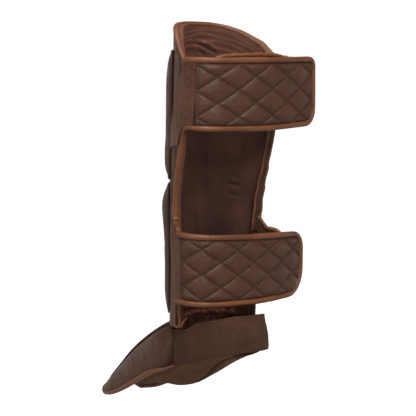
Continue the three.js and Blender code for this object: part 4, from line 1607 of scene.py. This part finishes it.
def instep_surface(u, v):
    turn = np.radians(mix(90, -90, u))
    flat = np.sign(np.sin(turn)) * np.abs(np.sin(turn)) ** 0.85
    crest_y, crest_z, half, edge_y, edge_z, shoulder = (along(INSTEP, v, k) for k in range(6))
    rise = np.maximum(np.cos(turn), 0) ** shoulder
    return stack(half * flat, mix(edge_y, crest_y, np.cos(turn)), mix(edge_z, crest_z, rise))


def instep_thickness(u, v):
    across = np.sin(np.pi * np.clip(u, 0, 1)) ** 0.6
    return mix(4, 9, across) * mix(1, 0.6, v**4)


class GUARD_OT_instep(bpy.types.Operator):
    """Builds the instep pad, the ridge along its middle and its binding"""

    bl_idname = "guard.instep"
    bl_label = "Instep pad"

    def execute(self, context):
        sizes, m = context.scene.guard_sizes, finishes()
        seed = sizes.seed + 800
        u, v = net(120, 230, 0.4, 0.5)
        face, normal = instep_surface(u, v), facing(instep_surface, u, v)
        arc, run = (u - 0.5) * INSTEP_GRID[0], v * INSTEP_GRID[1]
        off = np.abs(u - 0.5)
        ribs = np.sin(2 * np.pi * (run + 1.6 * noise(arc, run, 14, seed)) / 3.9)
        ribs = ribs * (smooth(v, 0.01, 0.04) * (1 - smooth(v, 0.08, 0.3)) * smooth(off, 0.12, 0.25))
        soft = 0.5 * (folds(arc * 0.8, run * 1.5, 24, seed + 2) - 0.6) * smooth(off, 0.1, 0.3)
        soft = 0.5 * lumps(arc, run, 30, seed + 1) + soft
        margin = np.minimum(np.minimum(u, 1 - u) * INSTEP_GRID[0], (1 - v) * INSTEP_GRID[1])
        seam, back_seam = bump(margin, 0, 2.6), bump(run, 2.5, 1.8)
        lift = soft * smooth(margin, 2, 12) + 0.7 * ribs - 0.7 * seam - 0.8 * back_seam
        # relief paints highlights on the ribs and shade between them, in the seam round the edge and in the back seam
        relief = 0.6 * ribs + 0.3 * soft - 0.6 * seam - 0.9 * back_seam
        piece = surface_piece(
            "instep_leather", raised(face, normal, lift), raised(face, normal, -instep_thickness(u, v)),
            m["shell leather"], (arc, run), np.clip(relief, -1, 1),
        )
        settle(piece, "leather", "instep_pad")
        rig.padded(piece, fill=0.6)

        u, v = net(44, 120, 0.7, 0.6)

        def ridge(a, b):
            return instep_surface(mix(0.36, 0.64, a), mix(0.04, 0.93, b))

        def swell(a, b):
            return 1 + 2.6 * (1 - np.abs(2 * a - 1) ** 3) * (1 - np.abs(2 * b - 1) ** 8)

        face, normal = ridge(u, v), facing(ridge, u, v)
        arc, run = (u - 0.5) * RIDGE_GRID[0], v * RIDGE_GRID[1]
        margin = inset(u, v, RIDGE_GRID)
        soft = 0.4 * lumps(arc, run, 20, seed + 5) + 0.25 * noise(run, arc * 0.2, 5, seed + 6) * bump(margin, 4, 5)
        # the ridge's relief paints light and shade on its lumps
        piece = surface_piece(
            "instep_ridge_cover", raised(face, normal, LAY + swell(u, v) + soft * smooth(margin, 0, 8)),
            face + normal * LAY, m["pad leather"], (arc, run), np.clip(soft * 0.4, -1, 1),
        )
        settle(piece, "pad", "instep_ridge")
        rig.padded(piece, fill=0.5)
        t = np.linspace(0.02, 0.98, 160)
        lines = []
        for a, b in ((0 * t + 0.03, t), (0 * t + 0.97, t)):
            n = facing(ridge, a, b)
            lines.append((raised(ridge(a, b), n, LAY + swell(a, b) + 0.15), n))
        settle(thread_piece("instep_stitches", lines, m["sewing thread"], sizes), "pad")

        # binding round the sides and the toe end
        down = np.linspace(0.01, 1, 70)
        across = np.linspace(0.0, 1.0, 60)[1:-1]
        u = np.concatenate([0 * down, across, 0 * down + 1])
        v = np.concatenate([down, 0 * across + 1, down[::-1]])
        du = np.concatenate([0 * down - 1, 0 * across, 0 * down + 1])
        dv = np.concatenate([0 * down, 0 * across + 1, 0 * down])
        sideways, forward = slopes(instep_surface, u, v)
        normal, thick = unit(np.cross(sideways, forward)), instep_thickness(u, v)
        out = unit(unit(sideways) * du[:, None] + unit(forward) * dv[:, None])
        wide = mix(1.4, 3.5, smooth(v, 0.02, 0.4))
        middle = raised(instep_surface(u, v), normal, -thick / 2)
        run = Run(middle + out * 0.8, out, normal, wide, thick / 2 + 1.0)
        run = run.even(1.8).eased(4)
        d = run.distance()
        run = run.sized(run.half_out * (1 + 0.06 * noise(d, 0 * d, 18, seed + 7)), run.half_deep)
        settle(binding_piece("instep_roll", [run], m["edge binding"], 16), "binding", "instep_binding")
        return {"FINISHED"}


def heel_surface(u, v):
    x, y, low, high = (along(HEEL, u, k) for k in range(4))
    lean = 1 + (0.035 * np.sin(np.pi * v) - 0.1 * v) * np.sin(np.pi * u)
    return stack(x * lean, y * lean, mix(low, high, v))


def sole_surface(u, v):
    across = mix(-1, 1, u)
    y, half, edge, sag = (along(SOLE, v, k) for k in range(4))
    return stack(half * across, y, edge - sag * np.maximum(1 - across**2, 0) ** 0.8)


class GUARD_OT_bands(bpy.types.Operator):
    """Stretches the heel band and the sole band round the foot"""

    bl_idname = "guard.bands"
    bl_label = "Foot bands"

    def execute(self, context):
        sizes, m = context.scene.guard_sizes, finishes()
        seed = sizes.seed + 900
        u, v = net(200, 46, 0.15, 0.3)
        face, normal = heel_surface(u, v), facing(heel_surface, u, v)
        arc, z = u * HEEL_GRID[0], v * HEEL_GRID[1]
        soft = 0.7 * lumps(arc, z, 34, seed) + 0.45 * (folds(arc * 0.5, z * 1.8, 20, seed + 1) - 0.6)
        tug = 0.5 * noise(z * 0.6, arc, 7, seed + 2) * (bump(u, 0, 0.08) + bump(u, 1, 0.08))
        lift = soft * smooth(np.minimum(v, 1 - v), 0, 0.15) + tug
        # the heel band's relief paints highlights on its swells and shade in its hollows and at its ends
        ends = bump(np.minimum(u, 1 - u) * HEEL_GRID[0], 0, 2.0)
        piece = surface_piece(
            "heel_band_cloth", raised(face, normal, lift), raised(face, normal, -(BAND_WALL - lift)),
            m["heel cloth"], (arc, z), np.clip(lift * 0.35 - ends, -1, 1),
        )
        settle(piece, "stretch", "heel_band")
        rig.sheet(piece, flat=(0.046, 0.29), held="stretched", area=0.0128)
        t = np.linspace(0, 1, 150)
        place, deep = heel_surface(t, 0 * t + 1), facing(heel_surface, t, 0 * t + 1)
        run = Run(place - deep * 1.0, stack(0 * t, 0 * t, 0 * t + 1), deep, 1.9, 1.5)
        settle(binding_piece("heel_band_hem", [run], m["heel cloth"], 12), "binding", "heel_band_binding")

        u, v = net(84, 100, 0.2, 0.3)
        face, normal = sole_surface(u, v), facing(sole_surface, u, v)
        arc, run = (u - 0.5) * SOLE_GRID[0], v * SOLE_GRID[1]
        soft = 0.8 * lumps(arc, run, 40, seed + 3) + 0.5 * (folds(arc, run * 1.2, 30, seed + 4) - 0.6)
        lift = soft * smooth(inset(u, v), 0, 0.12)
        # the sole band's relief paints highlights on its swells and shade in its hollows
        piece = surface_piece(
            "sole_band_cloth", raised(face, normal, lift), raised(face, normal, -(BAND_WALL - lift)),
            m["sole cloth"], (arc, run), np.clip(lift * 0.3, -1, 1),
        )
        settle(piece, "stretch", "sole_band")
        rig.sheet(piece, flat=(0.098, 0.215), held="stretched", area=0.0205)
        for name, at, sign in (("front", 0.0, -1), ("rear", 1.0, 1)):
            t = np.linspace(0, 1, 70)
            across, forward = slopes(sole_surface, t, 0 * t + at)
            deep = unit(np.cross(across, forward))
            runs = [Run(sole_surface(t, 0 * t + at) - deep, forward * sign, deep, 2.1, 1.7)]
            # the doubled hem under the heel: place on the hem, share across, share back
            way = [
                (0, 0.61, 0.99), (1, 0.68, 0.9), (2, 0.675, 0.8),
                (3, 0.62, 0.68), (4, 0.575, 0.57), (5, 0.55, 0.44),
            ]
            t = np.linspace(0, 5, 60)
            for shift in (-0.06, -0.02) if name == "rear" else ():
                a, b = eased(way, t, 1) + shift, eased(way, t, 2)
                deep = facing(sole_surface, a, b)
                place = sole_surface(a, b) - deep * (BAND_WALL + 0.4)
                runs.append(Run(place, np.cross(np.gradient(place, axis=0), deep), deep, 1.3, 1.0))
            piece = binding_piece(f"sole_band_hem_{name}", runs, m["edge facing"], 12)
            settle(piece, "binding", f"sole_band_binding_{name}")
        return {"FINISHED"}


def stand(name, data, place, aim):
    """Puts a lamp or camera in the scene, turned towards a point."""
    holder = bpy.data.objects.new(name, data)
    holder.location = place
    holder.rotation_euler = (Vector(aim) - Vector(place)).to_track_quat("-Z", "Y").to_euler()
    bpy.context.scene.collection.objects.link(holder)
    return holder


class GUARD_OT_stage(bpy.types.Operator):
    """Sets the floor, the studio lights and the camera"""

    bl_idname = "guard.stage"
    bl_label = "Stage"

    def execute(self, context):
        scene = context.scene
        height = scene.guard_sizes.floor_height
        mesh = bpy.data.meshes.new("floor")
        reach = 30.0
        corners = [(x * reach, y * reach, height) for x, y in ((-1, -1), (1, -1), (1, 1), (-1, 1))]
        mesh.from_pydata(corners, [], [(0, 1, 2, 3)])
        material = bpy.data.materials.new("pale floor")
        material.use_nodes = True
        shader = material.node_tree.nodes["Principled BSDF"]
        shader.inputs["Base Color"].default_value = (0.98, 0.98, 0.98, 1)
        shader.inputs["Roughness"].default_value = 0.9
        mesh.materials.append(material)
        floor = show("floor", mesh)
        floor.visible_diffuse = floor.visible_glossy = False
        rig.stage(floor)

        # a pale sky, brighter near the horizon
        world = bpy.data.worlds.new("studio")
        world.use_nodes = True
        tree = world.node_tree
        sky = tree.nodes["Background"]
        view = tree.nodes.new("ShaderNodeTexCoord").outputs["Generated"]
        direction = add_node(tree, "ShaderNodeSeparateXYZ", None, Vector=view).outputs["Z"]
        level = maths(
            tree, "ADD", ranged(tree, maths(tree, "ABSOLUTE", direction), 0.03, 0.12, 0.88, 0.0),
            ranged(tree, direction, -0.2, 0.1, 0.5, 0.12),
        )
        tree.links.new(level, sky.inputs["Strength"])
        sky.inputs["Color"].default_value = (1, 1, 1, 1)
        scene.world = world
        scene.view_settings.view_transform = "Standard"

        sun = bpy.data.lights.new("overhead light", "SUN")
        sun.energy, sun.angle = 3.1, 0.9
        lamp = bpy.data.objects.new("overhead light", sun)
        lamp.rotation_euler = (-0.16, 0.06, 0)
        scene.collection.objects.link(lamp)
        for name, place, aim, size, power in (
            ("front softbox", (0.7, 2.4, 1.9), (0, 0, 0.15), (1.2, 0.9), 60),
            ("side softbox", (2.4, 0.1, 1.3), (0, 0, 0.15), (1.2, 1.2), 26),
        ):
            light = bpy.data.lights.new(name, "AREA")
            light.shape, light.size, light.size_y, light.energy = "RECTANGLE", *size, power
            stand(name, light, place, aim)

        camera = bpy.data.cameras.new("camera")
        camera.lens, camera.sensor_width = 161.0, 36.0
        camera.clip_start, camera.clip_end = 0.1, 100
        scene.camera = stand("camera", camera, (1.5557, 1.8275, 0.430), (0.013, -0.011, 0.147))
        return {"FINISHED"}


class GUARD_PT_panel(bpy.types.Panel):
    """The guard's pieces, sizes and colours"""

    bl_idname = "GUARD_PT_panel"
    bl_label = "Shin and instep guard"
    bl_space_type = "VIEW_3D"
    bl_region_type = "UI"
    bl_category = "Guard"

    def draw(self, context):
        layout = self.layout
        for operator in OPERATORS:
            layout.operator(operator.bl_idname)
        for group in (context.scene.guard_sizes, context.scene.guard_colours):
            box = layout.box()
            for key in group.bl_rna.properties.keys():
                if key not in ("rna_type", "name"):
                    box.prop(group, key)


OPERATORS = (
    GUARD_OT_shell, GUARD_OT_lining, GUARD_OT_front_pads, GUARD_OT_wings, GUARD_OT_straps,
    GUARD_OT_edges, GUARD_OT_flaps, GUARD_OT_instep, GUARD_OT_bands, GUARD_OT_stage,
)
CLASSES = (GuardSizes, GuardColours, *OPERATORS, GUARD_PT_panel)


def register():
    for cls in CLASSES:
        bpy.utils.register_class(cls)
    bpy.types.Scene.guard_sizes = PointerProperty(type=GuardSizes)
    bpy.types.Scene.guard_colours = PointerProperty(type=GuardColours)


def unregister():
    del bpy.types.Scene.guard_colours
    del bpy.types.Scene.guard_sizes
    for cls in reversed(CLASSES):
        bpy.utils.unregister_class(cls)


def main():
    register()
    for operator in OPERATORS:
        group, name = operator.bl_idname.split(".")
        getattr(getattr(bpy.ops, group), name)()
    visual_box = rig.bounds()
    with open("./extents.json", "w") as file:
        json.dump({"cad": [list(c) for c in cad_box], "visual": [list(c) for c in visual_box]}, file)


if __name__ == "__main__":
    main()
